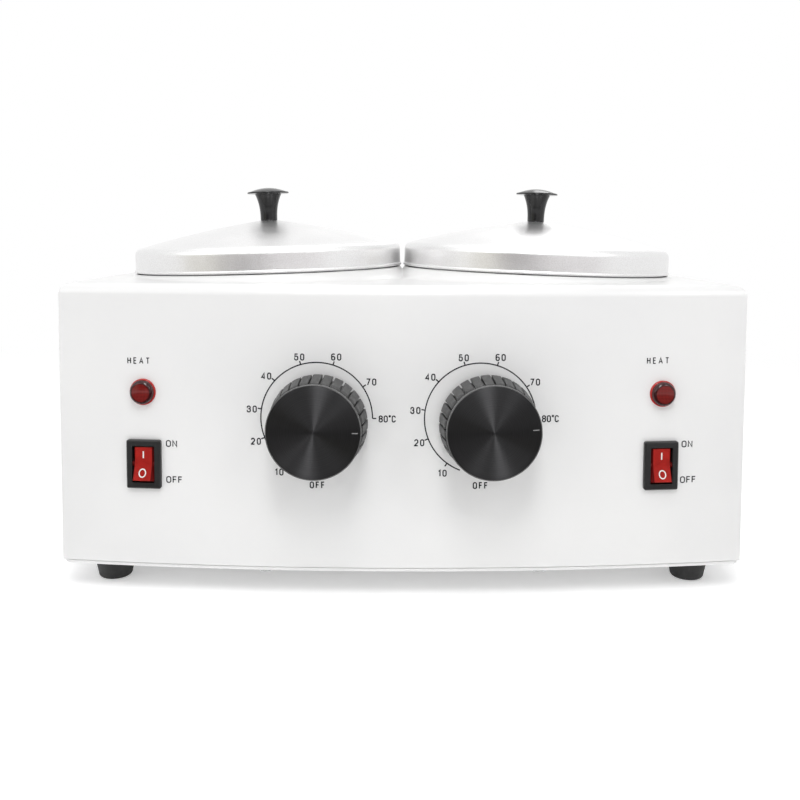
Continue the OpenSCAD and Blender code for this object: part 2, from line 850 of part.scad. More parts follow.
// Straps round the bulbs, their two wings flat on the well's underside
module bulb_clips() {
    r = bulb_d / 2 + run_gap;
    t = 0.8;
    wing = 7;
    clip_w = 16;
    mid = bulb_drop - well_bottom_z;
    color("silver")
        for (s = [left, right])
            on_well(s)
                translate([s * bulb_side, clip_w / 2, well_bottom_z])
                    rotate([90, 0, 0])
                        linear_extrude(clip_w)
                            difference() {
                                union() {
                                    translate([0, mid]) circle(r + t);
                                    translate([-r - t, mid]) square([2 * (r + t), -mid]);
                                    translate([-r - wing, -t]) square([2 * (r + wing), t]);
                                }
                                translate([0, mid]) circle(r);
                                translate([-r, mid]) square([2 * r, 1 - mid]);
                            }
}

// Switches -----------------------------------------------------------------

rocker_gap = 0.4;
cavity_w = rocker_w + 2 * rocker_gap;
cavity_l = rocker_l + 0.7;
switch_depth = 13;
switch_floor = 3;
pivot_z = 0.2;
pivot_d = 2.4;
pivot_in = 1;        // how deep a pivot's bore goes into the wall
rocker_valley = 1.5; // from the pivot to the middle of the rocker's face
blade = [4.8, 0.8];

module rounded(w, h, r) {
    square([w - 2 * r, h], center = true);
    square([w, h - 2 * r], center = true);
    for (x = [-1, 1], y = [-1, 1]) translate([x * (w / 2 - r), y * (h / 2 - r)]) circle(r, $fn = 32);
}

// Upright section through a bezel of this width, its front edges chamfered
module bezel_section(w) {
    edge = 0.5;
    polygon([
        [-w / 2, 0], [-w / 2, bezel_t - edge], [-w / 2 + edge, bezel_t],
        [w / 2 - edge, bezel_t], [w / 2, bezel_t - edge], [w / 2, 0]
    ]);
}

module bezel() {
    intersection() {
        linear_extrude(bezel_t) rounded(bezel_w, bezel_h, 1);
        rotate([90, 0, 0]) linear_extrude(bezel_h + 2, center = true) bezel_section(bezel_w);
        rotate([90, 0, 90]) linear_extrude(bezel_w + 2, center = true) bezel_section(bezel_h);
    }
}

module switch_body(s) {
    color("#2b2b2b")
        on_front(s * switch_x, switch_z)
            difference() {
                union() {
                    translate([0, 0, panel_touch]) bezel();
                    translate([-switch_case.x / 2, -switch_case.y / 2, -switch_depth])
                        cube([switch_case.x, switch_case.y, switch_depth + 1]);
                }
                translate([-cavity_w / 2, -cavity_l / 2, -switch_depth + switch_floor])
                    cube([cavity_w, cavity_l, switch_depth + bezel_t]);
                translate([-cavity_w / 2 - pivot_in, 0, pivot_z])
                    rotate([0, 90, 0]) cylinder(d = pivot_d + 2 * run_gap, h = cavity_w + 2 * pivot_in);
                for (i = [-1:1])
                    translate([-blade.x / 2 - run_gap, i * 5 - blade.y / 2 - run_gap, -switch_depth - 1])
                        cube([blade.x + 2 * run_gap, blade.y + 2 * run_gap, switch_floor + 2]);
            }
}

// A rocker from its side: two faces that meet in a shallow valley over the pivot
module rocker_side() {
    half = rocker_l / 2;
    under = 3.4;
    end_z = rocker_valley + half * tan(rocker_tilt);
    intersection() {
        circle(half);
        polygon([[0, rocker_valley], [half, end_z], [half, -under], [-half, -under], [-half, end_z]]);
    }
    translate([-1.2, -under - 2.5]) square([2.4, 3]);
}

// A rocker from its end: its sides lean in to a narrower face
module rocker_end() {
    half = rocker_w / 2;
    polygon([
        [-half, -8], [-half, 0.3], [-half + 0.6, rocker_valley], [-half + 0.7, 5],
        [half - 0.7, 5], [half - 0.6, rocker_valley], [half, 0.3], [half, -8]
    ]);
}

module rocker(s) {
    color("#b02020")
        on_front(s * switch_x, switch_z)
            translate([0, 0, pivot_z])
                rotate([-rocker_tilt, 0, 0]) {
                    intersection() {
                        rotate([90, 0, 90]) linear_extrude(rocker_w, center = true) rocker_side();
                        rotate([90, 0, 0]) linear_extrude(rocker_l + 2, center = true) rocker_end();
                    }
                    rotate([0, 90, 0])
                        cylinder(d = pivot_d, h = cavity_w + 2 * pivot_in - face_gap, center = true);
                }
}

module switch_terminals(s) {
    shoulder = 1.2;
    color("silver")
        on_front(s * switch_x, switch_z)
            for (i = [-1:1])
                translate([0, i * 5, 0]) {
                    translate([-blade.x / 2, -blade.y / 2, -switch_depth - 9])
                        cube([blade.x, blade.y, switch_floor + 8]);
                    translate([-blade.x / 2 - 0.8, -blade.y, -switch_depth - shoulder])
                        cube([blade.x + 1.6, 2 * blade.y, shoulder]);
                }
}

// Pilot lamps --------------------------------------------------------------

lamp_tube_d = 7.8;
lamp_depth = 18;
lamp_nut_d = 14;
lamp_nut_h = 3;

module lamp_lens(s) {
    r = lamp_d / 2;
    ring_t = 1.1;
    floor_t = 0.5;
    boss_r = r - 1.6;
    crown_h = 0.9;
    color("#a01c1c")
        on_front(s * lamp_x, lamp_z)
            translate([0, 0, panel_touch]) {
                rotate_extrude()
                    polygon([
                        [0, 0], [r, 0], [r, ring_t - 0.4], [r - 0.4, ring_t], [r - 1, ring_t],
                        [r - 1, floor_t], [0, floor_t]
                    ]);
                cylinder(r1 = boss_r, r2 = boss_r - 0.3, h = lamp_out - crown_h, $fn = 12);
                translate([0, 0, lamp_out - crown_h])
                    cylinder(r1 = boss_r - 0.3, r2 = boss_r / 2, h = crown_h, $fn = 12);
                translate([0, 0, -4]) cylinder(d = lamp_tube_d - 2 * run_gap, h = 4 + floor_t);
            }
}

module lamp_barrel(s) {
    color("dimgray")
        on_front(s * lamp_x, lamp_z)
            difference() {
                union() {
                    translate([0, 0, -lamp_depth]) cylinder(d = lamp_barrel_d, h = lamp_depth + panel_touch);
                    for (m = [left, right])
                        translate([m * 2.2 - 0.25, -1.4, -lamp_depth - 6]) cube([0.5, 2.8, 7]);
                }
                translate([0, 0, -lamp_depth + 1.5]) cylinder(d = lamp_tube_d, h = lamp_depth);
            }
}

module lamp_nuts() {
    color("dimgray")
        for (s = [left, right])
            on_front(s * lamp_x, lamp_z)
                translate([0, 0, behind_front(lamp_nut_d / 2) - lamp_nut_h])
                    difference() {
                        cylinder(d = lamp_nut_d, h = lamp_nut_h, $fn = 6);
                        translate([0, 0, -1]) cylinder(d = lamp_barrel_d + 2 * run_gap, h = lamp_nut_h + 2);
                    }
}

// Cord gland, terminal block and earth -------------------------------------

gland_flange_d = 20;
gland_flange_t = 2.5;
gland_root_d = 15;
gland_nut_d = 18.4;
gland_nut_h = 4;

// Turns children so that Z points out of the back, from the back's outer face
module on_back(z_above_seam) {
    translate([0, back_y, seam_z + z_above_seam]) rotate([-90, 0, 0]) children();
}

module cord_gland() {
    shank = wall + gland_nut_h + 3;
    color("#1a1a1a")
        on_back(gland_z)
            difference() {
                union() {
                    translate([0, 0, -shank]) cylinder(d = gland_d, h = shank + 1);
                    cylinder(d = gland_flange_d, h = gland_flange_t);
                    cylinder(d1 = gland_root_d, d2 = gland_bore_d + 3.6, h = gland_out);
                }
                translate([0, 0, -shank - 1]) cylinder(d = gland_bore_d, h = shank + gland_out + 2);
            }
}

module gland_nut() {
    color("#1a1a1a")
        on_back(gland_z)
            translate([0, 0, -wall - gland_nut_h])
                difference() {
                    cylinder(d = gland_nut_d, h = gland_nut_h, $fn = 6);
                    translate([0, 0, -1]) cylinder(d = gland_d + 2 * run_gap, h = gland_nut_h + 2);
                }
}

block_pole = block_w / 3;
block_wire_z = 9;
block_wire_d = 4;
clamp_y = 5;
clamp_screw_d = 3;

module terminal_block() {
    slit_w = 1.2;
    slit_h = 3;
    color("ivory")
        translate([0, block_y, seam_z])
            difference() {
                translate([-block_w / 2, -block_d / 2, 0]) cube([block_w, block_d, block_h]);
                for (i = [-1:1])
                    translate([i * block_pole, 0, block_wire_z]) {
                        rotate([90, 0, 0]) cylinder(d = block_wire_d, h = block_d + 2, center = true);
                        for (m = [-1, 1])
                            translate([0, m * clamp_y, 0])
                                cylinder(d = clamp_screw_d + 2 * run_gap, h = block_h);
                    }
                for (m = [-1, 1]) {
                    translate([(m * block_pole - slit_w) / 2, -block_d, block_h - slit_h])
                        cube([slit_w, 2 * block_d, slit_h + 1]);
                    translate([m * block_screw_x, 0, -1])
                        cylinder(d = block_screw_d + 2 * run_gap, h = block_screw_in + 1.5);
                }
            }
}

module block_screws() {
    head_h = 1.9;
    color("silver")
        for (m = [left, right])
            translate([m * block_screw_x, block_y, foot_h]) {
                translate([0, 0, -head_h]) cylinder(d = 5.6, h = head_h);
                cylinder(d = block_screw_d, h = seam_z - foot_h + block_screw_in);
            }
}

module clamp_screws() {
    z = block_wire_z + 1;
    color("goldenrod")
        translate([0, block_y, seam_z])
            for (i = [-1:1], m = [-1, 1])
                translate([i * block_pole, m * clamp_y, z])
                    difference() {
                        cylinder(d = clamp_screw_d, h = block_h - z - 0.3);
                        translate([-clamp_screw_d, -0.3, block_h - z - 1]) cube([2 * clamp_screw_d, 0.6, 2]);
                    }
}

module earth_screw() {
    head_h = 2.4;
    color("silver")
        translate([earth_x, block_y, foot_h]) {
            translate([0, 0, -head_h]) cylinder(d = 7.4, h = head_h);
            cylinder(d = earth_screw_d, h = earth_screw_l);
        }
}

module earth_nut() {
    color("goldenrod")
        translate([earth_x, block_y, seam_z]) {
            nut(earth_screw_d + 2 * run_gap, 3.2);
        }
}

housing();
base_plate();
base_screws();
foot(foot_places[0]);  // foot_front_left
foot(foot_places[2]);  // foot_front_right
foot(foot_places[1]);  // foot_back_left
foot(foot_places[3]);  // foot_back_right
foot_screws();
foot_nuts();
well(left);  // left_well
well(right);  // right_well
gasket(left);  // left_gasket
gasket(right);  // right_gasket
well_ring(left);  // left_well_ring
well_ring(right);  // right_well_ring
heater_band(left);  // left_heater_band
heater_band(right);  // right_heater_band
band_screws();
band_nuts();
pot(left);  // left_pot
pot(right);  // right_pot
lid(left);  // left_lid
lid(right);  // right_lid
lid_knob(left);  // left_lid_knob
lid_knob(right);  // right_lid_knob
lid_screw(left);  // left_lid_screw
lid_screw(right);  // right_lid_screw
thermostat(left);  // left_thermostat
thermostat(right);  // right_thermostat
thermostat_screws();
shaft(left);  // left_shaft
shaft(right);  // right_shaft
capillary(left);  // left_capillary
capillary(right);  // right_capillary
bulb_clips();
dial_grip(left);  // left_dial_grip
dial_grip(right);  // right_dial_grip
dial_disc(left);  // left_dial_disc
dial_disc(right);  // right_dial_disc
pointer(left);  // left_pointer
pointer(right);  // right_pointer
switch_body(left);  // left_switch_body
switch_body(right);  // right_switch_body
rocker(left);  // left_rocker
rocker(right);  // right_rocker
switch_terminals(left);  // left_switch_terminals
switch_terminals(right);  // right_switch_terminals
lamp_lens(left);  // left_lamp_lens
lamp_lens(right);  // right_lamp_lens
lamp_barrel(left);  // left_lamp_barrel
lamp_barrel(right);  // right_lamp_barrel
lamp_nuts();
cord_gland();
gland_nut();
terminal_block();
block_screws();
clamp_screws();
earth_screw();
earth_nut();
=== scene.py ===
"""Looks of the double wax warmer: photo camera, studio, finishes and the dressed pieces.

Lengths in the piece formulas are millimetres in the part's own frame: X to the viewer's right, Y to the back,
Z up, the ground at 0. They become metres when a mesh is made.
"""
import math

import bmesh
import bpy
import numpy as np
from mathutils import Matrix, Vector


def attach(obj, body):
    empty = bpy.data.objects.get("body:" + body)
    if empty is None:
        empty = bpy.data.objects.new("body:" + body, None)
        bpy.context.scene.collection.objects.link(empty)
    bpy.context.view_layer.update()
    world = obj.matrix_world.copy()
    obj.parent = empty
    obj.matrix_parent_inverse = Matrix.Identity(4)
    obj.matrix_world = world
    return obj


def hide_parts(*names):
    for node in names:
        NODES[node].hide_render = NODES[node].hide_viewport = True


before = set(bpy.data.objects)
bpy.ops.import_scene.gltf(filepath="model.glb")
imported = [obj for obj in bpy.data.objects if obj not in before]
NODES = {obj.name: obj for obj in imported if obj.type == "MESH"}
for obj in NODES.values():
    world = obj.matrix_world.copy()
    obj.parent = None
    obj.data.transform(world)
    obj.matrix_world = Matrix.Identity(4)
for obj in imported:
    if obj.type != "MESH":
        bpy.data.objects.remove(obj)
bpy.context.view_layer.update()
MM = 0.001
SIDES = (("left", -1), ("right", 1))

# Driving sizes, the same as those of the solids, with angles in degrees ---------
BODY_W, BODY_D, BODY_H = 296.0, 170.0, 120.7
BOW, FOLD_R = 10.3, 5.0
FOOT_H, BASE_T, SEAM_GAP = 12.0, 1.3, 0.3
COLLAR_H, LEAN = 2.8, 1.83
GASKET_T, LID_LIFT = 0.6, 0.35
LID_R, LID_H, LID_T, LID_ROLL_R, LID_GAP = 66.1, 24.1, 1.0, 0.7, 0.8
DIAL_X, DIAL_Z, DIAL_GAP = 35.5, 62.9, 2.6
GRIP_LEN, DISC_T, DISC_R = 18.2, 1.4, 18.75
SWITCH_X, SWITCH_Z, ROCKER_TILT = 110.6, 43.5, 10.0
LAMP_X, LAMP_Z = 111.0, 74.5
GLAND_OUT = 10.0

# Places that follow from them
SEAM_Z = FOOT_H + BASE_T + SEAM_GAP
TOP_Z = SEAM_Z + BODY_H
COLLAR_Z = TOP_Z + COLLAR_H
FRONT_Y = (DIAL_GAP + GRIP_LEN + DISC_T - BODY_D - GLAND_OUT) / 2
BOW_R = ((BODY_W / 2) ** 2 + BOW ** 2) / (2 * BOW)
LID_ROLL_X = LID_R - LID_ROLL_R / 4
WELL_X = LID_ROLL_X + LID_ROLL_R + LID_GAP / 2
WELL_Y = FRONT_Y + BODY_D / 2


def lifted(z):
    """Frame moved up its own Z."""
    return Matrix.Translation((0, 0, z))


def panel_y(x):
    """Front of the bowed panel: a circle of radius BOW_R, foremost at x = 0."""
    return FRONT_Y + BOW_R - np.sqrt(BOW_R ** 2 - np.square(x))


def on_front(x, z):
    """Frame on the front panel: its X runs along the panel, Y up, Z straight out of it."""
    return (Matrix.Translation((x, float(panel_y(x)), SEAM_Z + z))
            @ Matrix.Rotation(math.asin(x / BOW_R), 4, "Z") @ Matrix.Rotation(math.pi / 2, 4, "X"))


def on_well(side):
    """Frame on the leaning axis of a well, with Z up from the collar's top."""
    return (Matrix.Translation((side * WELL_X, WELL_Y, COLLAR_Z))
            @ Matrix.Rotation(math.radians(side * LEAN), 4, "Y"))


def on_lid(side):
    """Frame on a lid, with Z up from the middle of its rim."""
    return on_well(side) @ lifted(GASKET_T + LID_LIFT)


def on_rocker(side):
    """Frame on a rocker's pivot, turned to where the rocker rests."""
    pivot_z = 0.2
    return (on_front(side * SWITCH_X, SWITCH_Z) @ lifted(pivot_z)
            @ Matrix.Rotation(math.radians(-ROCKER_TILT), 4, "X"))


def in_scene(name, data):
    """Object that holds this mesh, lamp or camera, linked to the scene."""
    obj = bpy.data.objects.new(name, data)
    bpy.context.scene.collection.objects.link(obj)
    return obj


# Camera -----------------------------------------------------------------------
def photo_camera():
    """Camera that sees the part as the photograph does, at a place in metres. It dips by the pitch, looks
    to the right by the yaw and leans by the roll, in degrees."""
    spot, pitch, yaw, roll = (-0.0043, -0.4589, 0.1563), 3.649, 0.415, -0.281
    frame_px, focal_px, centre_px, sensor = 800, 911, (-0.3, -109.2), 36
    pitch, yaw, roll = (math.radians(angle) for angle in (pitch, yaw, roll))
    ahead = Vector((math.sin(yaw) * math.cos(pitch), math.cos(yaw) * math.cos(pitch), -math.sin(pitch)))
    level = Vector((math.cos(yaw), -math.sin(yaw), 0))
    down = ahead.cross(level)
    right = math.cos(roll) * level + math.sin(roll) * down
    under = -math.sin(roll) * level + math.cos(roll) * down
    data = bpy.data.cameras.new("photo_camera")
    data.sensor_width, data.lens = sensor, sensor * focal_px / frame_px
    data.shift_x, data.shift_y = (off / frame_px for off in centre_px)
    data.clip_start, data.clip_end = 0.01, 50
    cam = in_scene("photo_camera", data)
    cam.matrix_world = Matrix.Translation(spot) @ Matrix((right, -under, -ahead)).transposed().to_4x4()
    bpy.context.scene.camera = cam


photo_camera()


# Surfaces ---------------------------------------------------------------------
def rounded(corners, steps=5):
    """Line through corners (a, b, radius). Where the radius isn't 0 the corner becomes an arc that touches
    both sides: it starts and ends radius * tan(half the turn) away from the corner."""
    pts = np.array([c[:2] for c in corners], float)
    out = [pts[:1]]
    for before, here, after, (_, _, r) in zip(pts[:-2], pts[1:-1], pts[2:], corners[1:-1]):
        if r <= 0:
            out.append(here[None])
            continue
        u, v = before - here, after - here
        u, v = u / np.linalg.norm(u), v / np.linalg.norm(v)
        half = math.acos(np.clip(u @ v, -1, 1)) / 2
        centre = here + (u + v) / np.linalg.norm(u + v) * r / math.sin(half)
        a, b = here + u * r / math.tan(half) - centre, here + v * r / math.tan(half) - centre
        t = np.linspace(0, 1, steps + 1)[:, None]
        w = math.pi - 2 * half
        out.append(centre + (np.sin((1 - t) * w) * a + np.sin(t * w) * b) / math.sin(w))
    out.append(pts[-1:])
    return np.concatenate(out)


def turned(line, steps=144):
    """Solid of revolution: the point (r, z) of the line at angle t goes to (r cos t, r sin t, z)."""
    t = np.arange(steps) * 2 * math.pi / steps
    r, z = np.asarray(line, float).T
    return np.stack([np.outer(np.cos(t), r), np.outer(np.sin(t), r), np.tile(z, (steps, 1))], -1)


def shell(grid, wrap=(True, False)):
    """Points and four-sided faces of a grid of points, closed along its first and second direction or not."""
    nu, nv = grid.shape[:2]
    u, v = np.arange(nu if wrap[0] else nu - 1), np.arange(nv if wrap[1] else nv - 1)
    a, b = u[:, None] * nv, ((u + 1) % nu)[:, None] * nv
    c, d = v[None], ((v + 1) % nv)[None]
    return grid.reshape(-1, 3), np.stack([a + c, b + c, b + d, a + d], -1).reshape(-1, 4)


def handed_over(obj, body, finish, stands_for=None):
    """Gives an object its finish and its body. It may stand for a solid, and it takes the material slot
    that has its finish's name."""
    obj.data.materials.append(FINISHES[finish])
    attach(obj, body)
    if stands_for:
        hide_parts(stands_for)


def piece(name, shells, body, finish, place=Matrix(), stands_for=None, sharp=40):
    """A piece of one or more shells (millimetres) put in its place. Equal points are merged, which closes
    seams and poles, and edges that turn by more than the sharp angle stay crisp."""
    firsts = np.cumsum([0] + [len(pts) for pts, _ in shells])
    faces = np.concatenate([quads + first for (_, quads), first in zip(shells, firsts)])
    mesh = bpy.data.meshes.new(name)
    mesh.from_pydata(np.concatenate([pts for pts, _ in shells]).tolist(), [], faces.tolist())
    bm = bmesh.new()
    bm.from_mesh(mesh)
    bmesh.ops.remove_doubles(bm, verts=bm.verts, dist=1e-4)
    bmesh.ops.dissolve_degenerate(bm, edges=bm.edges, dist=1e-5)
    bmesh.ops.recalc_face_normals(bm, faces=bm.faces)
    bm.to_mesh(mesh)
    bm.free()
    mesh.transform(Matrix.Scale(MM, 4) @ place)
    mesh.shade_smooth()
    mesh.set_sharp_from_angle(angle=math.radians(sharp))
    handed_over(in_scene(name, mesh), body, finish, stands_for)


def even_normals(mesh, sharp):
    """Gives each corner of a mesh of triangles the mean normal of the faces round its vertex that turn by
    less than the sharp angle, weighed by the area of the flat region that each face belongs to, so flat
    sheet stays flat up to its folds."""
    flat_sine, most_passes = 5e-4, 400
    count, corners = len(mesh.polygons), len(mesh.loops)
    normal, area = np.empty(count * 3), np.empty(count)
    edge, vertex = np.empty(corners, int), np.empty(corners, int)
    mesh.polygons.foreach_get("normal", normal)
    mesh.polygons.foreach_get("area", area)
    mesh.loops.foreach_get("edge_index", edge)
    mesh.loops.foreach_get("vertex_index", vertex)
    normal, face = normal.reshape(-1, 3), np.arange(corners) // 3
    # Flat regions: of two faces that share an edge and hardly turn, both take the lower region number
    order = np.argsort(edge, kind="stable")
    twin = np.flatnonzero(edge[order][1:] == edge[order][:-1])
    one, other = face[order[twin]], face[order[twin + 1]]
    flat = np.linalg.norm(np.cross(normal[one], normal[other]), axis=1) < flat_sine
    one, other = one[flat], other[flat]
    region = np.arange(count)
    for _ in range(most_passes):
        low = np.minimum(region[one], region[other])
        before = region.copy()
        np.minimum.at(region, one, low)
        np.minimum.at(region, other, low)
        region = region[region]
        if (region == before).all():
            break
    weight = np.bincount(region, area, count)[region]
    # Every corner meets every corner of its vertex
    order = np.argsort(vertex, kind="stable")
    per = np.bincount(vertex)
    first = np.concatenate([[0], np.cumsum(per)[:-1]])
    meets = per[vertex[order]]
    mine, start = np.repeat(order, meets), np.repeat(first[vertex[order]], meets)
    step = np.arange(len(mine)) - np.repeat(np.cumsum(meets) - meets, meets)
    near = face[order[start + step]]
    keep = (normal[face[mine]] * normal[near]).sum(1) > math.cos(math.radians(sharp))
    mine, near = mine[keep], near[keep]
    sums = np.stack([np.bincount(mine, weight[near] * normal[near, i], corners) for i in range(3)], -1)
    length = np.linalg.norm(sums, axis=1)[:, None]
    sums = np.where(length > 0, sums / np.maximum(length, 1e-20), normal[face])
    mesh.shade_smooth()
    mesh.normals_split_custom_set(sums.tolist())


def smoothed(node, body, finish, sharp=28, bevel=0.0):
    """Copy of a solid with its loose triangles joined, smooth across shallow edges, or with small rounds on
    its edges. It stands for the solid."""
    mesh = NODES[node].data.copy()
    obj = in_scene(node + "_dressed", mesh)
    mesh.name = obj.name
    if mesh.has_custom_normals:
        with bpy.context.temp_override(object=obj, active_object=obj, selected_objects=[obj]):
            bpy.ops.mesh.customdata_custom_splitnormals_clear()
    bm = bmesh.new()
    bm.from_mesh(mesh)
    bmesh.ops.remove_doubles(bm, verts=bm.verts, dist=1e-6)
    if bevel:
        bmesh.ops.dissolve_limit(bm, angle_limit=math.radians(0.05), verts=bm.verts, edges=bm.edges)
    bm.to_mesh(mesh)
    bm.free()
    if bevel:
        mesh.shade_smooth()
        mesh.set_sharp_from_angle(angle=math.radians(sharp))
        rounds = obj.modifiers.new("rounds", "BEVEL")
        rounds.width, rounds.segments = bevel * MM, 3
        rounds.limit_method, rounds.angle_limit = "ANGLE", math.radians(sharp)
        rounds.harden_normals = True
    else:
        even_normals(mesh, sharp)
    mesh.materials.clear()
    handed_over(obj, body, finish, node)


# Nodes and shared effects -----------------------------------------------------
def add(tree, kind, joins=(), **settings):
    """Adds a node: settings are its own values or its inputs' values, joins are (input, source) pairs."""
    node = tree.nodes.new(kind)
    for key, value in settings.items():
        if hasattr(node, key):
            setattr(node, key, value)
        else:
            node.inputs[key.replace("_", " ")].default_value = value
    for into, source in joins:
        tree.links.new(source, node.inputs[into])
    return node


def calc(tree, operation, *values, **settings):
    """Result of a sum, product or the like. Each value is a number or another node's output."""
    node = add(tree, "ShaderNodeMath", operation=operation, **settings)
    for socket, value in zip(node.inputs, values):
        if isinstance(value, bpy.types.NodeSocket):
            tree.links.new(value, socket)
        else:
            socket.default_value = value
    return node.outputs[0]


def reach(tree, value, lo, hi, out_lo=0, out_hi=1):
    """Carries a value from lo..hi to out_lo..out_hi, clamped."""
    node = add(tree, "ShaderNodeMapRange", [("Value", value)])
    for key, number in (("From Min", lo), ("From Max", hi), ("To Min", out_lo), ("To Max", out_hi)):
        node.inputs[key].default_value = number
    return node.outputs["Result"]


def split(tree, vector):
    """The three parts of a vector."""
    return add(tree, "ShaderNodeSeparateXYZ", [(0, vector)]).outputs


def off_axis(tree, vector):
    """Distance from the Z axis."""
    flat = add(tree, "ShaderNodeVectorMath", [(0, vector)], operation="MULTIPLY")
    flat.inputs[1].default_value = (1, 1, 0)
    return add(tree, "ShaderNodeVectorMath", [(0, flat.outputs[0])], operation="LENGTH").outputs["Value"]


def noise_effect(name, lo=0.3, hi=0.7, **settings):
    """Node group of noise with features of a size in millimetres. It puts out the noise as a height, and a
    mask that rises from 0 to 1 between lo and hi of it. Noise in one dimension runs along the distance from
    the Z axis, like the rings that a lathe tool leaves."""
    tree = bpy.data.node_groups.new(name, "ShaderNodeTree")
    for label, kind, way in (("Vector", "Vector", "INPUT"), ("Size", "Float", "INPUT"),
                             ("Height", "Float", "OUTPUT"), ("Mask", "Float", "OUTPUT")):
        tree.interface.new_socket(label, in_out=way, socket_type="NodeSocket" + kind)
    start, end = tree.nodes.new("NodeGroupInput"), tree.nodes.new("NodeGroupOutput")
    where, size = start.outputs["Vector"], start.outputs["Size"]
    noise = add(tree, "ShaderNodeTexNoise", **settings)
    if noise.noise_dimensions == "1D":
        tree.links.new(calc(tree, "DIVIDE", off_axis(tree, where), size), noise.inputs["W"])
    else:
        tree.links.new(where, noise.inputs["Vector"])
        tree.links.new(calc(tree, "DIVIDE", 1.0, size), noise.inputs["Scale"])
    tree.links.new(noise.outputs["Fac"], end.inputs["Height"])
    tree.links.new(reach(tree, noise.outputs["Fac"], lo, hi), end.inputs["Mask"])
    return tree


EFFECTS = {
    "grain": noise_effect("fine_grain", Detail=3.0, Roughness=0.6),
    "rings": noise_effect("spun_rings", noise_dimensions="1D", Scale=1.0, Detail=2.0),
    "smudges": noise_effect("smudges", 0.35, Detail=4.0, Roughness=0.5, Distortion=0.4),
}


class Finish:
    """One material: a Principled shader with constants on its own sockets, and short ways to vary them. Its
    patterns lie on Object coordinates in millimetres, from the part's origin or from a place on the
    part."""

    def __init__(self, name, colour, roughness, metallic=0.0, place=None, **sockets):
        self.mat = bpy.data.materials.new(name)
        self.mat.use_nodes = True
        self.tree = self.mat.node_tree
        self.shader = next(n for n in self.tree.nodes if n.type == "BSDF_PRINCIPLED")
        self.colour = colour
        self.shader.inputs["Base Color"].default_value = (*colour, 1)
        self.shader.inputs["Roughness"].default_value = roughness
        self.shader.inputs["Metallic"].default_value = metallic
        for key, value in sockets.items():
            self.shader.inputs[key.replace("_", " ")].default_value = value
        self.coords = self.measured_from(place)
        self.bump = None

    def measured_from(self, place):
        """Object coordinates in millimetres. A place on the part's right half serves its left half too,
        because the distance to the left counts as one to the right."""
        here = add(self.tree, "ShaderNodeTexCoord").outputs["Object"]
        if place is not None:
            x, y, z = split(self.tree, here)
            here = add(self.tree, "ShaderNodeCombineXYZ",
                       [(0, calc(self.tree, "ABSOLUTE", x)), (1, y), (2, z)]).outputs[0]
        place = place or Matrix()
        node = add(self.tree, "ShaderNodeMapping", [("Vector", here)], vector_type="TEXTURE")
        node.inputs["Location"].default_value = place.translation * MM
        node.inputs["Rotation"].default_value = place.to_euler()
        node.inputs["Scale"].default_value = (MM, MM, MM)
        return node.outputs["Vector"]

    def use(self, effect, size):
        """Outputs of a shared effect, with its features this size in millimetres."""
        node = add(self.tree, "ShaderNodeGroup", node_tree=EFFECTS[effect])
        self.tree.links.new(self.coords, node.inputs["Vector"])
        node.inputs["Size"].default_value = size
        return node.outputs

    def band(self, start, end, soft):
        """Mask that is 1 between two radii from the Z axis, with edges this soft in millimetres."""
        r = off_axis(self.tree, self.coords)
        return calc(self.tree, "MULTIPLY", reach(self.tree, r, start - soft, start + soft),
                    reach(self.tree, r, end - soft, end + soft, 1, 0))

    def tint(self, mask, colour):
        """Moves the colour towards another one where the mask is 1."""
        node = add(self.tree, "ShaderNodeMix", data_type="RGBA")
        ends = [s for s in node.inputs if s.type == "RGBA"]
        base = self.shader.inputs["Base Color"]
        if base.is_linked:
            self.tree.links.new(base.links[0].from_socket, ends[0])
        else:
            ends[0].default_value = (*self.colour, 1)
        ends[1].default_value = (*colour, 1)
        self.tree.links.new(mask, node.inputs[0])
        self.tree.links.new(next(s for s in node.outputs if s.type == "RGBA"), base)

    def scuff(self, size, lo, hi):
        """Roughness from lo to hi in smudges of this size."""
        mask = self.use("smudges", size)["Mask"]
        self.tree.links.new(reach(self.tree, mask, 0, 1, lo, hi), self.shader.inputs["Roughness"])

    def relief(self, height, depth):
        """Adds a bump of this depth in millimetres."""
        node = add(self.tree, "ShaderNodeBump", [("Height", height)], Strength=1.0)
        node.inputs["Distance"].default_value = depth * MM
        if self.bump:
            self.tree.links.new(self.bump, node.inputs["Normal"])
        self.bump = node.outputs["Normal"]
        self.tree.links.new(self.bump, self.shader.inputs["Normal"])


# Finishes ---------------------------------------------------------------------
def plain_moulding(name, colour, roughness, grain, depth, **sockets):
    """Moulded plastic or rubber: fine skin, a little paler on its high spots, and soft smudges in its
    gloss."""
    paler, lift = 1.18, 0.002
    f = Finish(name, colour, roughness, **sockets)
    skin = f.use("grain", grain)
    f.relief(skin["Height"], depth)
    f.scuff(9.0, roughness * 0.85, roughness * 1.2)
    f.tint(skin["Mask"], [c * paler + lift for c in colour])
    return f.mat


def worked_metal(name, colour, roughness, dark, grain, depth, place=None, pitch=None):
    """Bare metal: grain, smudges, and lathe rings where it has an axis."""
    f = Finish(name, colour, roughness, 1.0, place)
    if pitch:
        f.relief(f.use("rings", pitch)["Height"], depth)
    skin = f.use("grain", grain)
    f.relief(skin["Height"], depth)
    f.tint(skin["Mask"], dark)
    f.scuff(26.0, roughness * 0.94, roughness * 1.08)
    return f.mat


def white_paint():
    """Powder-coated steel: warm white with a faint orange peel and slightly uneven gloss."""
    f = Finish("white_paint", (0.79, 0.79, 0.786), 0.34, Coat_Weight=0.45, Coat_Roughness=0.2)
    f.relief(f.use("grain", 1.6)["Height"], 0.006)
    f.scuff(30.0, 0.3, 0.4)
    f.tint(f.use("smudges", 70.0)["Mask"], (0.82, 0.818, 0.81))
    return f.mat


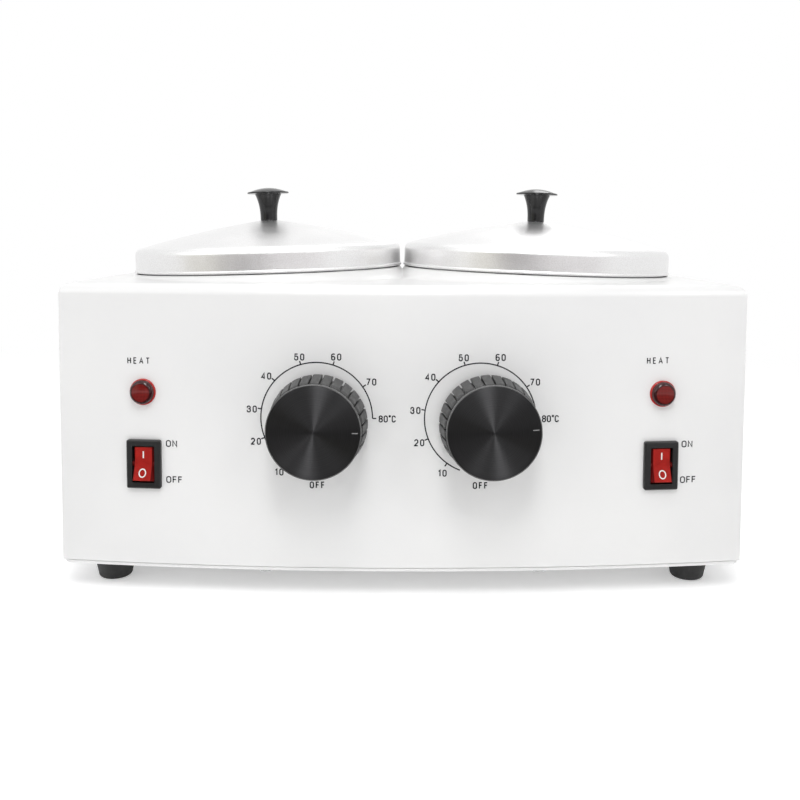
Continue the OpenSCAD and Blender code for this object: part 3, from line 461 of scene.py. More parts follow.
def satin_aluminium():
    """Lids: blasted and lightly spun aluminium, with a fine grain that breaks up its reflections."""
    f = Finish("satin_aluminium", (0.89, 0.89, 0.895), 0.34, 1.0, on_well(1))
    f.relief(f.use("rings", 0.5)["Height"], 0.004)
    skin = f.use("grain", 0.45)
    f.relief(skin["Height"], 0.03)
    f.tint(skin["Mask"], (0.75, 0.745, 0.74))
    f.scuff(18.0, 0.31, 0.39)
    return f.mat


def spun_disc():
    """Black anodised disc: fine lathe rings, and a gloss stretched across them that draws each highlight
    out into an hourglass."""
    f = Finish("black_disc", (0.058, 0.058, 0.06), 0.5, 1.0, on_front(DIAL_X, DIAL_Z),
               Anisotropic=0.95, Anisotropic_Rotation=0.25)
    around = add(f.tree, "ShaderNodeTangent", direction_type="RADIAL", axis="Y")
    f.tree.links.new(around.outputs[0], f.shader.inputs["Tangent"])
    rings = f.use("rings", 0.2)
    f.relief(rings["Height"], 0.01)
    f.tint(rings["Mask"], (0.08, 0.08, 0.083))
    return f.mat


def rocker_red():
    """Rocker: clear red moulding, with painted shade that turns its side walls deep red."""
    painted_shade_from, painted_shade_to = 3.55, 3.85     # off the rocker's middle
    f = Finish("red_rocker", (0.28, 0.011, 0.008), 0.38, place=on_front(SWITCH_X, SWITCH_Z),
               Specular_IOR_Level=0.1)
    f.tint(f.use("smudges", 5.0)["Mask"], (0.38, 0.016, 0.012))
    f.relief(f.use("grain", 1.2)["Height"], 0.004)
    aside = calc(f.tree, "ABSOLUTE", split(f.tree, f.coords)[0])
    # Painted shade: the side walls get a darker red than the faces
    f.tint(reach(f.tree, aside, painted_shade_from, painted_shade_to), (0.11, 0.004, 0.004))
    return f.mat


def dial_black():
    """Dial grip: matt moulding with a fine skin, and a painted sheen that makes its front flange paler."""
    painted_sheen_from, painted_sheen_to = DIAL_GAP + 17.3, DIAL_GAP + 17.6     # out of the panel
    f = Finish("black_grip", (0.045, 0.045, 0.045), 0.45, place=on_front(DIAL_X, DIAL_Z))
    skin = f.use("grain", 0.3)
    f.relief(skin["Height"], 0.012)
    f.scuff(9.0, 0.4, 0.54)
    f.tint(skin["Mask"], (0.056, 0.056, 0.056))
    # Painted sheen: a paler band on the front flange stands in for light on its bevel
    f.tint(reach(f.tree, split(f.tree, f.coords)[2], painted_sheen_from, painted_sheen_to), (0.1, 0.1, 0.1))
    return f.mat


def pilot_lens():
    """Pilot lamp: clear red lens over a dim lamp, with a fine lattice moulded inside, painted shade that
    darkens a ring where its wall turns down, and painted light that brightens its flange."""
    lattice_pitch, lattice_r, shade_ring_in, shade_ring_out, lit_flange_in, past_edge = 0.62, 3.7, 3.9, 5.1, 5.2, 50
    f = Finish("red_lens", (0.085, 0.005, 0.004), 0.13, place=on_front(LAMP_X, LAMP_Z),
               Specular_IOR_Level=0.4)
    waves = [calc(f.tree, "SINE", calc(f.tree, "MULTIPLY", part, 2 * math.pi / lattice_pitch))
             for part in split(f.tree, f.coords)[:2]]
    lattice = reach(f.tree, calc(f.tree, "MAXIMUM", *waves), 0.1, 0.9)
    f.tint(calc(f.tree, "MULTIPLY", lattice, f.band(-1, lattice_r, 0.2)), (0.21, 0.016, 0.014))
    # Painted shade: a dark ring where the wall turns down
    f.tint(f.band(shade_ring_in, shade_ring_out, 0.2), (0.03, 0.003, 0.004))
    # Painted light: the flange gets a brighter red than the rest of the lens
    f.tint(f.band(lit_flange_in, past_edge, 0.08), (0.45, 0.025, 0.022))
    return f.mat


def plain_name(material):
    """Name of a material without the number that a second one of that name gets."""
    return material.name.split(".")[0]


FINISHES = {plain_name(made): made for made in (
    white_paint(),
    plain_moulding("black_rubber", (0.03, 0.03, 0.03), 0.72, 0.5, 0.04),
    # The gasket's near-black is partly a real rubber ring and partly painted shade for the gap under each
    # lid's rim
    plain_moulding("black_gasket", (0.012, 0.012, 0.012), 0.8, 0.5, 0.03),
    worked_metal("zinc_steel", (0.62, 0.63, 0.62), 0.34, (0.46, 0.47, 0.48), 0.8, 0.01),
    worked_metal("well_aluminium", (0.74, 0.74, 0.75), 0.36, (0.6, 0.6, 0.61), 0.6, 0.012, on_well(1), 0.8),
    plain_moulding("heater_mica", (0.36, 0.27, 0.15), 0.55, 1.5, 0.05),
    worked_metal("pot_aluminium", (0.82, 0.82, 0.83), 0.28, (0.7, 0.7, 0.71), 0.5, 0.01, on_well(1), 0.7),
    satin_aluminium(),
    plain_moulding("black_phenolic", (0.012, 0.012, 0.0125), 0.16, 0.35, 0.003, Specular_IOR_Level=0.38),
    worked_metal("copper", (0.72, 0.34, 0.2), 0.3, (0.5, 0.22, 0.12), 0.8, 0.01),
    dial_black(),
    spun_disc(),
    plain_moulding("white_mark", (0.72, 0.72, 0.7), 0.5, 0.3, 0.004),
    plain_moulding("worn_mark", (0.2, 0.2, 0.2), 0.5, 0.3, 0.004),
    plain_moulding("black_plastic", (0.016, 0.016, 0.0165), 0.35, 0.35, 0.01),
    rocker_red(),
    pilot_lens(),
    worked_metal("brass", (0.7, 0.52, 0.22), 0.3, (0.5, 0.36, 0.15), 0.8, 0.01),
    plain_moulding("ivory_plastic", (0.68, 0.64, 0.52), 0.45, 0.8, 0.02),
    plain_moulding("black_ink", (0.012, 0.012, 0.016), 0.6, 0.4, 0.002, Specular_IOR_Level=0.2),
)}


def dress_solids():
    """Gives every solid the finish that its material slot names."""
    for obj in NODES.values():
        for held in obj.material_slots:
            name = plain_name(held.material) if held.material else ""
            if name not in FINISHES:
                raise SystemExit(f"{obj.name} has no finish for {name}")
            held.material = FINISHES[name]


# Pieces -----------------------------------------------------------------------
def lids():
    """Lid: the dome falls from the knob's seat as slope * r + curve * r squared, rolls over a shoulder arc
    into a straight skirt and ends in a rolled edge."""
    shoulder, skirt_h, slope, seat, turn = 3.6, 8.3, 0.13, 4.5, math.radians(75)
    arc_x, in_r = LID_R - shoulder, LID_R - LID_T
    dome_r, dome_z = arc_x + shoulder * math.cos(turn), skirt_h + shoulder * math.sin(turn)
    curve = (LID_H - dome_z - slope * (dome_r - seat)) / (dome_r ** 2 - seat ** 2)
    r = np.linspace(seat, dome_r, 60)[:-1]
    z = LID_H - slope * (r - seat) - curve * (r ** 2 - seat ** 2)
    arc = np.linspace(turn, 0, 14)
    roll = np.radians(np.linspace(75, -180, 22))
    inner = shoulder - LID_T
    upright = LID_T / math.sin(turn)     # the sheet's thickness measured upright
    line = np.concatenate([
        [[0, LID_H]], np.stack([r, z], -1),
        np.stack([arc_x + shoulder * np.cos(arc), skirt_h + shoulder * np.sin(arc)], -1),
        np.stack([LID_ROLL_X + LID_ROLL_R * np.cos(roll), LID_ROLL_R * (1 + np.sin(roll))], -1),
        [[in_r, LID_ROLL_R + 0.1], [in_r, skirt_h - 0.3]],
        np.stack([arc_x + inner * np.cos(arc[::-1]), skirt_h + inner * np.sin(arc[::-1])], -1),
        np.stack([r[::-1], z[::-1] - upright], -1), [[0, LID_H - upright]]])
    for word, side in SIDES:
        piece(word + "_lid_shell", [shell(turned(line, 240))], word + "_cover", "satin_aluminium",
              on_lid(side), word + "_lid", sharp=50)


def front_fold():
    """Clean skin of the bowed fold, a hair outside the sheet: a quarter arc between the top plate and the
    panel, carried along the bow, and lowered at both ends to the arc of the side folds where that is the
    lower one."""
    proud, half, end_gap, overlap, thick = 0.03, BODY_W / 2, 0.5, 3.0, 0.6
    outer, low = FOLD_R + proud, FOLD_R - proud
    inset = np.concatenate([np.linspace(end_gap, FOLD_R, 22),
                            FOLD_R + np.linspace(0.02, 1, 60) * (half - FOLD_R)])
    across = half - inset
    across = np.concatenate([-across, across[::-1][1:]])[:, None]
    bend = np.radians(np.linspace(0, 90, 19))
    # Section, from the fold's centre: back along the plate, round the fold, down the panel, and back inside
    section = np.concatenate([
        [[-overlap, low]], outer * np.stack([np.sin(bend), np.cos(bend)], -1),
        [[low, -overlap], [FOLD_R - thick, 1 - overlap], [1 - overlap, FOLD_R - thick]]])
    past_fold = np.clip(np.abs(across) - half + FOLD_R, 0, None)
    side_fold = np.sqrt(np.clip(outer ** 2 - past_fold ** 2, 0, None))
    radius = BOW_R - FOLD_R + section[None, :, 0]
    grid = np.stack(np.broadcast_arrays(
        across, FRONT_Y + BOW_R - np.sqrt(radius ** 2 - across ** 2),
        TOP_Z - FOLD_R + np.minimum(section[None, :, 1], side_fold)), -1)
    ends = [np.broadcast_to(row.mean(0), (1, *row.shape)) for row in (grid[0], grid[-1])]
    piece("front_fold_skin", [shell(np.concatenate([ends[0], grid, ends[1]]), (False, True))],
          "case", "white_paint", sharp=50)


def collar_roots():
    """Pressed root of each leaning collar. From a low lip just below the lid it runs out to the top plate:
    its height falls with a power of the way left, and its width grows with the height at that side."""
    lip_r, lip_z, dive, power = 66.0, 0.4, 0.03, 2.4
    least_w, w_per_height, under_plate = 1.0, 1.3, 0.4
    t = np.linspace(0, 2 * math.pi, 241)[:-1]
    way = np.stack([np.cos(t), np.sin(t)], -1)
    s = np.linspace(0, 1, 14)
    for word, side in SIDES:
        lean = np.array(on_well(side))

        def leaning(r, z):
            return np.column_stack([r * way, np.full_like(t, z)]) @ lean[:3, :3].T + lean[:3, 3]

        lip = leaning(lip_r, lip_z)
        rise = lip[:, 2] - TOP_Z + dive
        grid = np.empty((len(t), len(s) + 3, 3))
        grid[:, 0], grid[:, 1] = leaning(lip_r - 0.8, 0.1), leaning(lip_r - 0.45, lip_z + 0.02)
        width = (least_w + w_per_height * rise)[:, None, None]
        grid[:, 2:-1, :2] = lip[:, None, :2] + way[:, None] * width * s[None, :, None]
        grid[:, 2:-1, 2] = TOP_Z - dive + rise[:, None] * (1 - s[None]) ** power
        grid[:, -1] = grid[:, 0]
        grid[:, -1, 2] = TOP_Z - under_plate
        piece(word + "_collar_root", [shell(grid, (True, True))], "case", "white_paint", sharp=60)


def lid_knobs():
    """Knob: the neck widens as a power of the height up to the underside of a cap with a low domed top."""
    foot, cap, neck_h, flare, power = 4.2, 10.4, 13.6, 2.55, 2.6
    cap_h, cap_edge, foot_round = 2.9, 0.45, 0.25
    t = np.linspace(0, 1, 26)
    neck = np.stack([foot + flare * t ** power, neck_h * t], -1)[1:-1]
    under = rounded([(*neck[-1], 0), (neck[-1][0] + 0.15, neck_h, 0.35), (cap, neck_h, 0.25),
                     (cap, neck_h + 0.75, cap_edge), (0, neck_h + cap_h + 0.55, 0)])[:-1]
    s = np.linspace(1, 0, 24)[1:] * (under[-1][0] / cap)
    top = np.stack([cap * s, neck_h + cap_edge + (cap_h - cap_edge) * (1 - s ** 2)], -1)
    line = np.concatenate([[[0, 0], [foot - foot_round, 0], [foot, foot_round]], neck, under, top])
    for word, side in SIDES:
        piece(word + "_lid_knob_body", [shell(turned(line, 96))], word + "_cover", "black_phenolic",
              on_lid(side) @ lifted(LID_H), word + "_lid_knob", sharp=50)


def grip_surface():
    """Dial grip: radius = pad radius where the pad mask is 1 and core radius in the grooves; the mask is a
    rounded box wave of 28 pads round the knob. Ahead of the pads lies a deep notch that a rib crosses at
    each groove, and then a thin flange that stands round the disc."""
    pads, core, back, front, groove, pad_round, sunk = 28, 18.7, 20.8, 19.5, 0.75, 0.3, 0.22
    bore, bore_z, hub, hub_z, cavity = 3.05, 15.3, 5.6, 13, 17
    start, end, notch, flange_z, flange, seat, rim = 0.8, 14.5, 16.6, 17.35, 19.3, 18.9, GRIP_LEN + 1.3
    # One pad, from the middle of a groove: angles, the mask, and how far the pad's rounded edge lies back
    half, mean_r, wall = math.pi / pads, 20.0, 0.001
    edge, bend = groove / 2 / mean_r, pad_round / mean_r
    s = np.concatenate([[0, edge - wall, edge, edge + bend * 0.3, edge + bend, edge + 3 * bend],
                        np.linspace(edge + 5 * bend, half, 4)])
    mask = np.clip((s - edge) / wall + 1, 0, 1)
    sink = np.where(s <= edge, 0, sunk * np.clip(1 - (s - edge) / bend, 0, 1) ** 2)
    s = np.concatenate([-s[::-1], s[1:]]) + half
    angle = (s[None] + 2 * half * np.arange(pads)[:, None]).ravel()[:, None]
    mask, sink = (np.tile(np.concatenate([v[::-1], v[1:]]), pads)[:, None] for v in (mask, sink))
    # Rows: height, radius on a pad, radius in a groove
    low, high = start + 0.5, end - 0.6
    z = np.linspace(low, high, 10)
    on_pad = np.stack([z, back + (front + 0.15 - back) * (z - low) / (high - low), np.full(10, core)], -1)
    rows = np.concatenate([
        [[bore_z, 0, 0], [bore_z, bore, bore], [1, bore, bore], [1, hub, hub], [hub_z, hub, hub],
         [hub_z, cavity, cavity], [0, cavity, cavity], [0, core, core], [start, core, core],
         [start, back - 0.35, core], [start + 0.1, back - 0.12, core]],
        on_pad,
        [[end - 0.25, front, core], [end, front - 0.3, core], [end, notch, core], [flange_z, notch, core],
         [flange_z, flange - 0.15, flange - 0.15], [flange_z + 0.15, flange, flange],
         [rim - 0.15, flange, flange], [rim, flange - 0.13, flange - 0.13], [rim, seat + 0.08, seat + 0.08],
         [rim - 0.1, seat, seat], [GRIP_LEN, seat, seat], [GRIP_LEN, 0, 0]]])
    z, pad_r, groove_r = rows.T[:, None]
    padded = (z > start) & (z <= end - 0.2)
    r = groove_r + (pad_r - groove_r) * mask - sink * padded
    return np.stack([np.cos(angle) * r, np.sin(angle) * r, np.broadcast_to(z, r.shape)], -1)


def dials():
    """The grip, the disc let into its front, which is a flat spun face with a small round at its edge, and
    a short pointer line on it. The right dial rests a little further round."""
    edge_round, sunk, ahead = 0.12, 0.2, {-1: 0, 1: 4.5}
    grip = shell(grip_surface())
    edge, top = DISC_R + edge_round, DISC_T - sunk
    disc = rounded([(0, 0, 0), (edge, 0, 0), (edge, top, edge_round), (0, top, 0)], 4)
    face = np.linspace(1, 0, 12)[1:, None] * np.array([[DISC_R, 0]]) + [0, top]
    disc = shell(turned(np.concatenate([disc[:-1], face])))
    line = stroke([(15.5, 0), (18.0, 0)], 0.42, 0.05)
    for word, side in SIDES:
        body = word + "_dial"
        place = (on_front(side * DIAL_X, DIAL_Z) @ Matrix.Rotation(math.radians(ahead[side]), 4, "Z")
                 @ lifted(DIAL_GAP))
        piece(body + "_grip_body", [grip], body, "black_grip", place, body + "_grip")
        piece(body + "_face", [disc], body, "black_disc", place @ lifted(GRIP_LEN), body + "_disc", sharp=35)
        piece(word + "_pointer_line", [line], body, "worn_mark", place @ lifted(GRIP_LEN + top - 0.01),
              word + "_pointer")


def film(name, outlines):
    """One printed piece from shells given in panel millimetres: X along, Y up, Z out of the front. A point
    goes onto the bow at its own x, so the print lies on the curved sheet."""
    shells = []
    for pts, faces in outlines:
        x, z, out = pts.T
        shells.append((np.stack([x, panel_y(x) - out, SEAM_Z + z], -1), faces))
    piece(name, shells, "case", "black_ink")


def stroke(path, width, thick=0.06, closed=False):
    """Ink line: a rectangle width by thick carried along a path in the panel's X and Y. Each point of the
    path moves half a width to either side, square to the mean of its two neighbouring directions."""
    path = np.asarray(path, float)
    if closed:
        step = np.roll(path, -1, 0) - path
        back = np.roll(step, 1, 0)
    else:
        step = np.diff(path, axis=0)
        back = np.concatenate([step[:1], step])
        step = np.concatenate([step, step[-1:]])
    step /= np.linalg.norm(step, axis=1)[:, None]
    back /= np.linalg.norm(back, axis=1)[:, None]
    mid = step + back
    mid /= np.linalg.norm(mid, axis=1)[:, None]
    side = np.stack([-mid[:, 1], mid[:, 0]], -1) / np.clip((mid * step).sum(1), 0.5, 1)[:, None]
    flat = path[:, None] + side[:, None] * (np.array([-0.5, 0.5, 0.5, -0.5]) * width)[None, :, None]
    high = np.broadcast_to(np.array([0, 0, thick, thick])[None, :, None], flat.shape[:2] + (1,))
    pts, faces = shell(np.concatenate([flat, high], -1), (closed, True))
    if not closed:
        last = len(pts) - 4
        faces = np.concatenate([faces, [[3, 2, 1, 0], [last, last + 1, last + 2, last + 3]]])
    return pts, faces


def ring_path(x0, y0, x1, y1, r):
    """Closed path round a box with its corners rounded by r."""
    mid = (x0 + x1) / 2
    return rounded([(mid, y0, 0), (x1, y0, r), (x1, y1, r), (x0, y1, r), (x0, y0, r), (mid, y0, 0)])[:-1]


# Centre lines of the signs, one unit high: (width, open paths, closed paths). Most digits share a width and
# the radius of their corners.
W, R = 0.52, 0.235
SIGNS = {
    "0": (W, [], [ring_path(0, 0, W, 1, 0.25)]),
    "1": (0.26, [[(0, 0.8, 0), (0.24, 1, 0), (0.24, 0, 0)]], []),
    "2": (W, [[(0.01, 0.76, 0), (0.01, 1, R), (W, 1, R), (W, 0.56, 0.15), (0, 0.04, 0.02), (0, 0, 0),
               (W, 0, 0)]], []),
    "3": (W, [[(0.01, 0.8, 0), (0.01, 1, R), (W - 0.02, 1, R), (W - 0.02, 0.54, 0.21), (0.2, 0.54, 0)],
              [(0.2, 0.54, 0), (W, 0.54, R), (W, 0, R), (0, 0, R), (0, 0.22, 0)]], []),
    "4": (W, [[(0.41, 0, 0), (0.41, 1, 0), (0, 0.28, 0), (W + 0.02, 0.28, 0)]], []),
    "5": (W, [[(W - 0.03, 1, 0), (0.07, 1, 0), (0.02, 0.52, 0), (0.08, 0.62, 0.05), (W, 0.66, R), (W, 0, R),
               (0, 0, R), (0, 0.2, 0)]], []),
    "6": (W, [[(W - 0.03, 0.9, 0), (W - 0.06, 1, 0.09), (0, 1, 0.25), (0, 0.3, 0)]],
          [ring_path(0, 0, W, 0.58, 0.24)]),
    "7": (W, [[(0, 1, 0), (W, 1, 0), (0.17, 0, 0)]], []),
    "8": (W, [], [ring_path(0.02, 0.54, W - 0.02, 1, 0.21), ring_path(0, 0, W, 0.54, 0.24)]),
    "O": (0.54, [], [ring_path(0, 0, 0.54, 1, 0.26)]),
    "F": (0.42, [[(0.42, 1, 0), (0, 1, 0), (0, 0, 0)], [(0, 0.53, 0), (0.38, 0.53, 0)]], []),
    "N": (0.5, [[(0, 0, 0), (0, 1, 0), (0.5, 0, 0), (0.5, 1, 0)]], []),
    "C": (0.5, [[(0.5, 0.74, 0), (0.5, 1, 0.24), (0, 1, 0.25), (0, 0, 0.25), (0.5, 0, 0.24), (0.5, 0.26, 0)]],
          []),
    "H": (0.5, [[(0, 0, 0), (0, 1, 0)], [(0.5, 0, 0), (0.5, 1, 0)], [(0, 0.52, 0), (0.5, 0.52, 0)]], []),
    "E": (0.42, [[(0.42, 1, 0), (0, 1, 0), (0, 0, 0), (0.42, 0, 0)], [(0, 0.53, 0), (0.38, 0.53, 0)]], []),
    "A": (0.6, [[(0, 0, 0), (0.3, 1, 0), (0.6, 0, 0)], [(0.1, 0.32, 0), (0.5, 0.32, 0)]], []),
    "T": (0.54, [[(0, 1, 0), (0.54, 1, 0)], [(0.27, 1, 0), (0.27, 0, 0)]], []),
    "*": (0.2, [], [ring_path(0, 0.86, 0.2, 1.06, 0.09)]),
}


def lettering(words, x, z, height, weight=0.5, gap=0.24, wide=1.0):
    """Signs in a row, middled on x and z. Height is over all, weight the line's width, gap the space
    between two signs as a share of the height, and wide stretches the signs."""
    unit = np.array([wide, 1]) * (height - weight)
    widths = [SIGNS[sign][0] * unit[0] + weight for sign in words]
    left = x - (sum(widths) + gap * height * (len(words) - 1)) / 2
    made = []
    for sign, width in zip(words, widths):
        _, lines, loops = SIGNS[sign]
        origin = np.array([left + weight / 2, z - unit[1] / 2])
        made += [stroke(rounded(line) * unit + origin, weight) for line in lines]
        made += [stroke(loop * unit + origin, weight, closed=True) for loop in loops]
        left += width + gap * height
    return made


def dial_prints():
    """Scale round each dial: an arc from the hottest mark round to behind the knob, a tick and a number for
    each mark, and OFF at the bottom. Each mark has its angle, and its label's place off the arc's
    centre."""
    arc_r, arc_end, weight, tick, height = 23.64, 249, 0.52, 1.6, 3.0
    centre_x, centre_z, to_left = 34.6, 64.46, 2.05
    marks = {"70": (34.5, 23.05, 15.5), "60": (72.8, 8.31, 25.99), "50": (106.4, -7.28, 25.86),
             "40": (138.5, -21.28, 17.64), "30": (171.2, -27.5, 3.48), "20": (201.4, -25.8, -10.3),
             "10": (233.8, -15.91, -23.36), "80*C": (0, 29.84, -0.2), "OFF": (270, 0.26, -28.73)}
    around = np.radians(np.linspace(0, arc_end, 90))
    for word, side in SIDES:
        centre = np.array([side * centre_x - to_left, centre_z])
        lines = [stroke(centre + arc_r * np.stack([np.cos(around), np.sin(around)], -1), weight)]
        for label, (angle, dx, dz) in marks.items():
            way = [math.cos(math.radians(angle)), math.sin(math.radians(angle))]
            lines.append(stroke(centre + np.outer([arc_r, arc_r + tick], way), weight))
            lines += lettering(label, *(centre + [dx, dz]), height, gap=0.1 if label == "80*C" else 0.24)
        film(word + "_dial_scale", lines)


def switch_prints():
    """ON and OFF beside each switch, and HEAT over each lamp, at their places on the panel."""
    on_z, off_z = 52.4, 36.8
    for word, on_x, off_x, heat in (("left", -98.86, -97.81, (-112.83, 87.81)),
                                    ("right", 122.48, 123.26, (108.68, 88.74))):
        lines = []
        for label, x, z in (("ON", on_x, on_z), ("OFF", off_x, off_z)):
            lines += lettering(label, x, z, 2.95, 0.46, 0.2, 1.3)
        film(word + "_switch_words", lines + lettering("HEAT", *heat, 2.8, 0.42, 0.38))


def lamp_lenses():
    """Lens: a flange with a rounded edge, and a boss whose wall turns over a wide shoulder into a low dome:
    its top falls as the square of the radius."""
    flange_r, flange_t, foot_r, top, dome_r, sag, on_panel = 5.65, 0.95, 5.15, 3.55, 2.9, 0.2, 0.05
    r = np.linspace(dome_r, 0, 12)[1:]
    line = np.concatenate([
        rounded([(0, 0, 0), (flange_r, 0, 0), (flange_r, flange_t, 0.42), (foot_r, flange_t, 0.12),
                 (foot_r - 0.2, 3.15, 1.6), (dome_r, top - sag, 0)], 9),
        np.stack([r, top - sag * (r / dome_r) ** 2], -1)])
    for word, side in SIDES:
        piece(word + "_lamp_lens_dome", [shell(turned(line, 96))], "case", "red_lens",
              on_front(side * LAMP_X, LAMP_Z) @ lifted(on_panel), word + "_lamp_lens")


def rockers():
    """Rocker: two flat faces meet in a shallow, softened valley over the pivot. Across it the sides slope
    out from the face's edge, which is rounded, to the full width; its two ends are parts of a cylinder
    round the pivot."""
    face, full, slope_h, deep, valley, crease = 3.75, 4.78, 1.9, 4.6, 1.4, 1.2
    long, end_r, floor_z, end_z, pin_r, pin_half = 7.32, 7.5, -3.0, -3.4, 1.2, 5.75
    across = rounded([(-full, -deep, 0), (-full, -slope_h, 0.3), (-face, 0, 0.45), (face, 0, 0.45),
                      (full, -slope_h, 0.3), (full, -deep, 0)])
    y = np.concatenate([np.linspace(-long, -0.35, 14), np.linspace(-0.25, 0.25, 5),
                        np.linspace(0.35, long, 14)])[:, None]
    z = valley + math.tan(math.radians(ROCKER_TILT)) * np.sqrt(y ** 2 + crease ** 2) + across[None, :, 1]
    swing = np.sqrt(np.clip(end_r ** 2 - np.clip(z, end_z, None) ** 2, 0, None))
    grid = np.stack(np.broadcast_arrays(across[None, :, 0], np.clip(y, -swing, swing),
                                        np.clip(z, floor_z, None)), -1)
    ends = [row[None] * [0, 1, 1] for row in (grid[0], grid[-1])]
    grid = np.concatenate([ends[0], grid, ends[1]])
    pin = turned([(0, -pin_half), (pin_r, -pin_half), (pin_r, pin_half), (0, pin_half)], 32)[..., [2, 0, 1]]
    for word, side in SIDES:
        piece(word + "_rocker_cap", [shell(grid, (False, False)), shell(grid[:, [-1, 0]], (False, False)),
                                     shell(pin)],
              word + "_switch", "red_rocker", on_rocker(side), word + "_rocker")


def rocker_marks():
    """I and O let into the two faces of a rocker, each in the middle of its face."""
    out, face_z, thick = 3.9, 1.5, 0.05
    t = np.linspace(0, 2 * math.pi, 49)[:-1]
    bar = stroke([(0, -1.5), (0, 1.5)], 0.55, thick)
    ring = stroke(np.stack([1.4 * np.cos(t), 1.7 * np.sin(t)], -1), 0.48, thick, closed=True)
    tilt = math.radians(ROCKER_TILT)
    for word, side in SIDES:
        for label, mark, up in (("on_mark", bar, 1), ("off_mark", ring, -1)):
            place = (on_rocker(side) @ Matrix.Translation((0, up * out, face_z + out * math.tan(tilt)))
                     @ Matrix.Rotation(up * tilt, 4, "X"))
            piece(f"{word}_rocker_{label}", [mark], word + "_switch", "white_mark", place)


def dressed_solids():
    """Solids whose shape is right get joined faces, smooth shading and small rounds on their edges."""
    for node in ("housing", "base_plate"):
        smoothed(node, "case", "white_paint")
    for corner in ("front_left", "front_right", "back_left", "back_right"):
        smoothed("foot_" + corner, "case", "black_rubber")
    for word, _ in SIDES:
        # Black gaskets: part real ring, part painted shade in the narrow gap under each lid's rim
        smoothed(word + "_gasket", "case", "black_gasket")
        smoothed(word + "_well", "case", "well_aluminium")
        smoothed(word + "_pot", word + "_wax_pot", "pot_aluminium", sharp=35)
        smoothed(word + "_switch_body", "case", "black_plastic", bevel=0.3)
    smoothed("cord_gland", "case", "black_plastic")


# Studio, in metres ------------------------------------------------------------
def emptied(holder):
    """Node tree of a material or a world, with nothing in it."""
    holder.use_nodes = True
    holder.node_tree.nodes.clear()
    return holder.node_tree


def seen_directly(tree):
    """1 for camera, glossy and transmission rays, which see the white background."""
    path = add(tree, "ShaderNodeLightPath").outputs
    seen = calc(tree, "ADD", path["Is Camera Ray"], path["Is Glossy Ray"])
    return calc(tree, "ADD", seen, path["Is Transmission Ray"], use_clamp=True)


def mixed(tree, share, first, second):
    """Shader that goes from the first to the second as the share goes from 0 to 1."""
    return add(tree, "ShaderNodeMixShader",
               [(0, share), (1, first.outputs[0]), (2, second.outputs[0])])


def staged(name, pts, faces, material):
    """Piece of the studio."""
    mesh = bpy.data.meshes.new(name)
    mesh.from_pydata(np.asarray(pts, float).tolist(), [], np.asarray(faces).tolist())
    mesh.materials.append(material)
    obj = in_scene(name, mesh)
    return obj


def card(name, colour, pts, faces=((0, 1, 2, 3),)):
    """A glowing card that only reflections see: it lights nothing and casts no shadow."""
    mat = bpy.data.materials.new(name)
    tree = emptied(mat)
    glow = add(tree, "ShaderNodeEmission", Color=(*colour, 1), Strength=1.0)
    add(tree, "ShaderNodeOutputMaterial", [("Surface", glow.outputs[0])])
    obj = staged(name, pts, faces, mat)
    obj.visible_camera = obj.visible_diffuse = obj.visible_shadow = obj.visible_transmission = False


def room_card(name, start, end, height, colour):
    """Upright arc of a dim room in front of the part, between two compass angles (0 straight ahead of the
    front, positive to the viewer's right)."""
    radius = 1.5
    t = np.radians(np.linspace(start, end, 24))
    grid = np.stack([np.stack([radius * np.sin(t), -radius * np.cos(t), np.full_like(t, z)], -1)
                     for z in (0, height)], 1)
    card(name, colour, *shell(grid, (False, False)))


def lamp(name, spot, width, height, power):
    """Soft lamp of this size and power in watts that points at the middle of the part."""
    middle = Vector((0, 0, 0.08))
    data = bpy.data.lights.new(name, "AREA")
    data.shape, data.size, data.size_y, data.energy = "RECTANGLE", width, height, power
    obj = in_scene(name, data)
    obj.location = spot
    obj.rotation_euler = (middle - Vector(spot)).to_track_quat("-Z", "Y").to_euler()
    return obj


def surroundings():
    """White for rays that see it directly, and a plain grey level that lights the part."""
    world = bpy.data.worlds.new("studio")
    bpy.context.scene.world = world
    tree = emptied(world)
    room = add(tree, "ShaderNodeBackground", Color=(0.99, 0.99, 1.0, 1), Strength=0.5)
    white = add(tree, "ShaderNodeBackground", Color=(1, 1, 1, 1), Strength=1.0)
    pick = mixed(tree, seen_directly(tree), room, white)
    add(tree, "ShaderNodeOutputWorld", [("Surface", pick.outputs[0])])


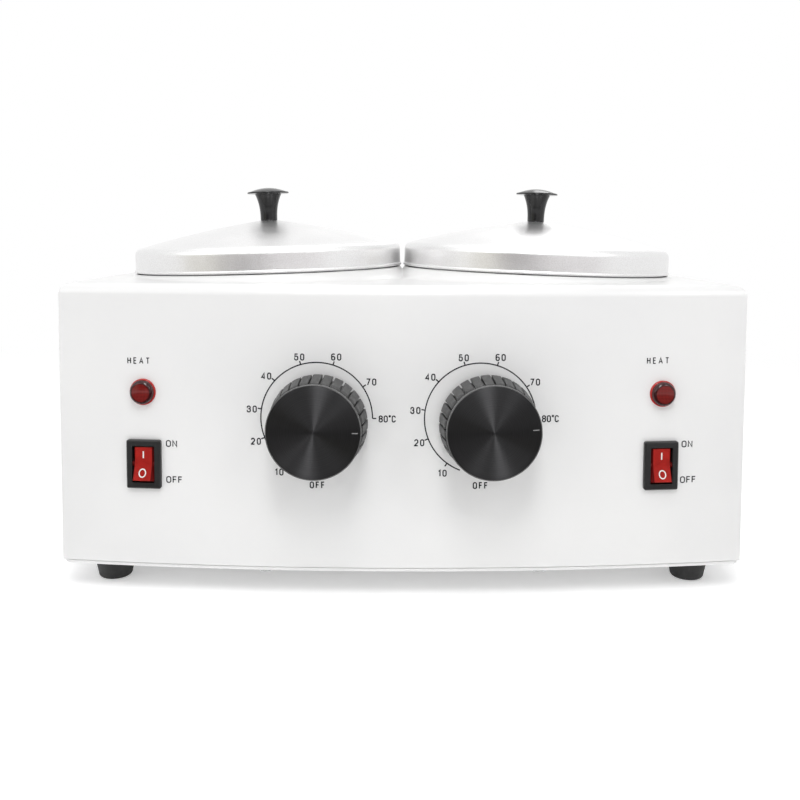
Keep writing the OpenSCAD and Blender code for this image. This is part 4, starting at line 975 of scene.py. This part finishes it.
def pale_floor():
    """Floor that is matt to the lamps, keeps the part's shadow where it is seen, and turns white further
    out."""
    half, near, far_off = 20.0, 0.35, 0.9
    mat = bpy.data.materials.new("floor")
    tree = emptied(mat)
    matt = add(tree, "ShaderNodeBsdfDiffuse", Color=(0.9, 0.9, 0.9, 1))
    glow = add(tree, "ShaderNodeEmission", Color=(1, 1, 1, 1), Strength=0.36)
    both = add(tree, "ShaderNodeAddShader", [(0, matt.outputs[0]), (1, glow.outputs[0])])
    far = add(tree, "ShaderNodeEmission", Color=(1, 1, 1, 1), Strength=1.0)
    here = add(tree, "ShaderNodeTexCoord").outputs["Object"]
    away = add(tree, "ShaderNodeVectorMath", [(0, here)], operation="LENGTH").outputs["Value"]
    white = mixed(tree, reach(tree, away, near, far_off), both, far)
    pick = mixed(tree, seen_directly(tree), matt, white)
    add(tree, "ShaderNodeOutputMaterial", [("Surface", pick.outputs[0])])
    corners = [(-half, -half, 0), (half, -half, 0), (half, half, 0), (-half, half, 0)]
    staged("floor", corners, [(0, 1, 2, 3)], mat)


def studio():
    """A narrow soft lamp high in front, a large one overhead, two fills and a little light off the floor. A
    dim room in front and bright cards above give the metal and the gloss something to reflect."""
    bpy.context.scene.view_settings.view_transform = "Standard"
    surroundings()
    pale_floor()
    lamp("key", (-0.01, -0.6, 0.85), 0.26, 0.5, 3.6)
    lamp("overhead", (-0.1, 0.15, 1.3), 1.1, 1.1, 3.0)
    lamp("left_fill", (-0.9, -0.7, 0.75), 0.8, 0.8, 2.2)
    lamp("right_fill", (0.62, -0.7, 0.72), 0.2, 0.3, 1.1)
    bounce = lamp("floor_bounce", (0, -0.15, 0.004), 0.32, 0.04, 0.034)
    bounce.visible_camera = bounce.visible_glossy = False
    room_card("room_olive", -66, -34, 0.46, (0.56, 0.53, 0.44))
    room_card("room_mauve", -34, 0, 0.46, (0.06, 0.03, 0.035))
    room_card("room_pale", 0, 50, 0.42, (0.66, 0.62, 0.63))
    card("room_table", (0.13, 0.125, 0.12),
         [(-0.42, -0.6, 0.001), (0.42, -0.6, 0.001), (0.42, -0.1, 0.001), (-0.42, -0.1, 0.001)])
    card("back_glare", (3.5, 3.5, 3.5),
         [(0.2, 1.0, 0.75), (0.55, 1.0, 0.75), (0.55, 1.0, 1.25), (0.2, 1.0, 1.25)])
    card("side_glare", (2.2, 2.2, 2.2),
         [(0.45, -0.9, 0.45), (0.58, -0.9, 0.34), (0.98, -0.6, 0.78), (0.85, -0.6, 0.9)])
    card("key_glare", (4.0, 4.0, 4.0),
         [(-0.11, -1.0, 0.55), (0.09, -1.0, 0.55), (0.09, -0.55, 1.3), (-0.11, -0.55, 1.3)])


dress_solids()
dressed_solids()
front_fold()
collar_roots()
lids()
lid_knobs()
dials()
dial_prints()
switch_prints()
lamp_lenses()
rockers()
rocker_marks()
studio()
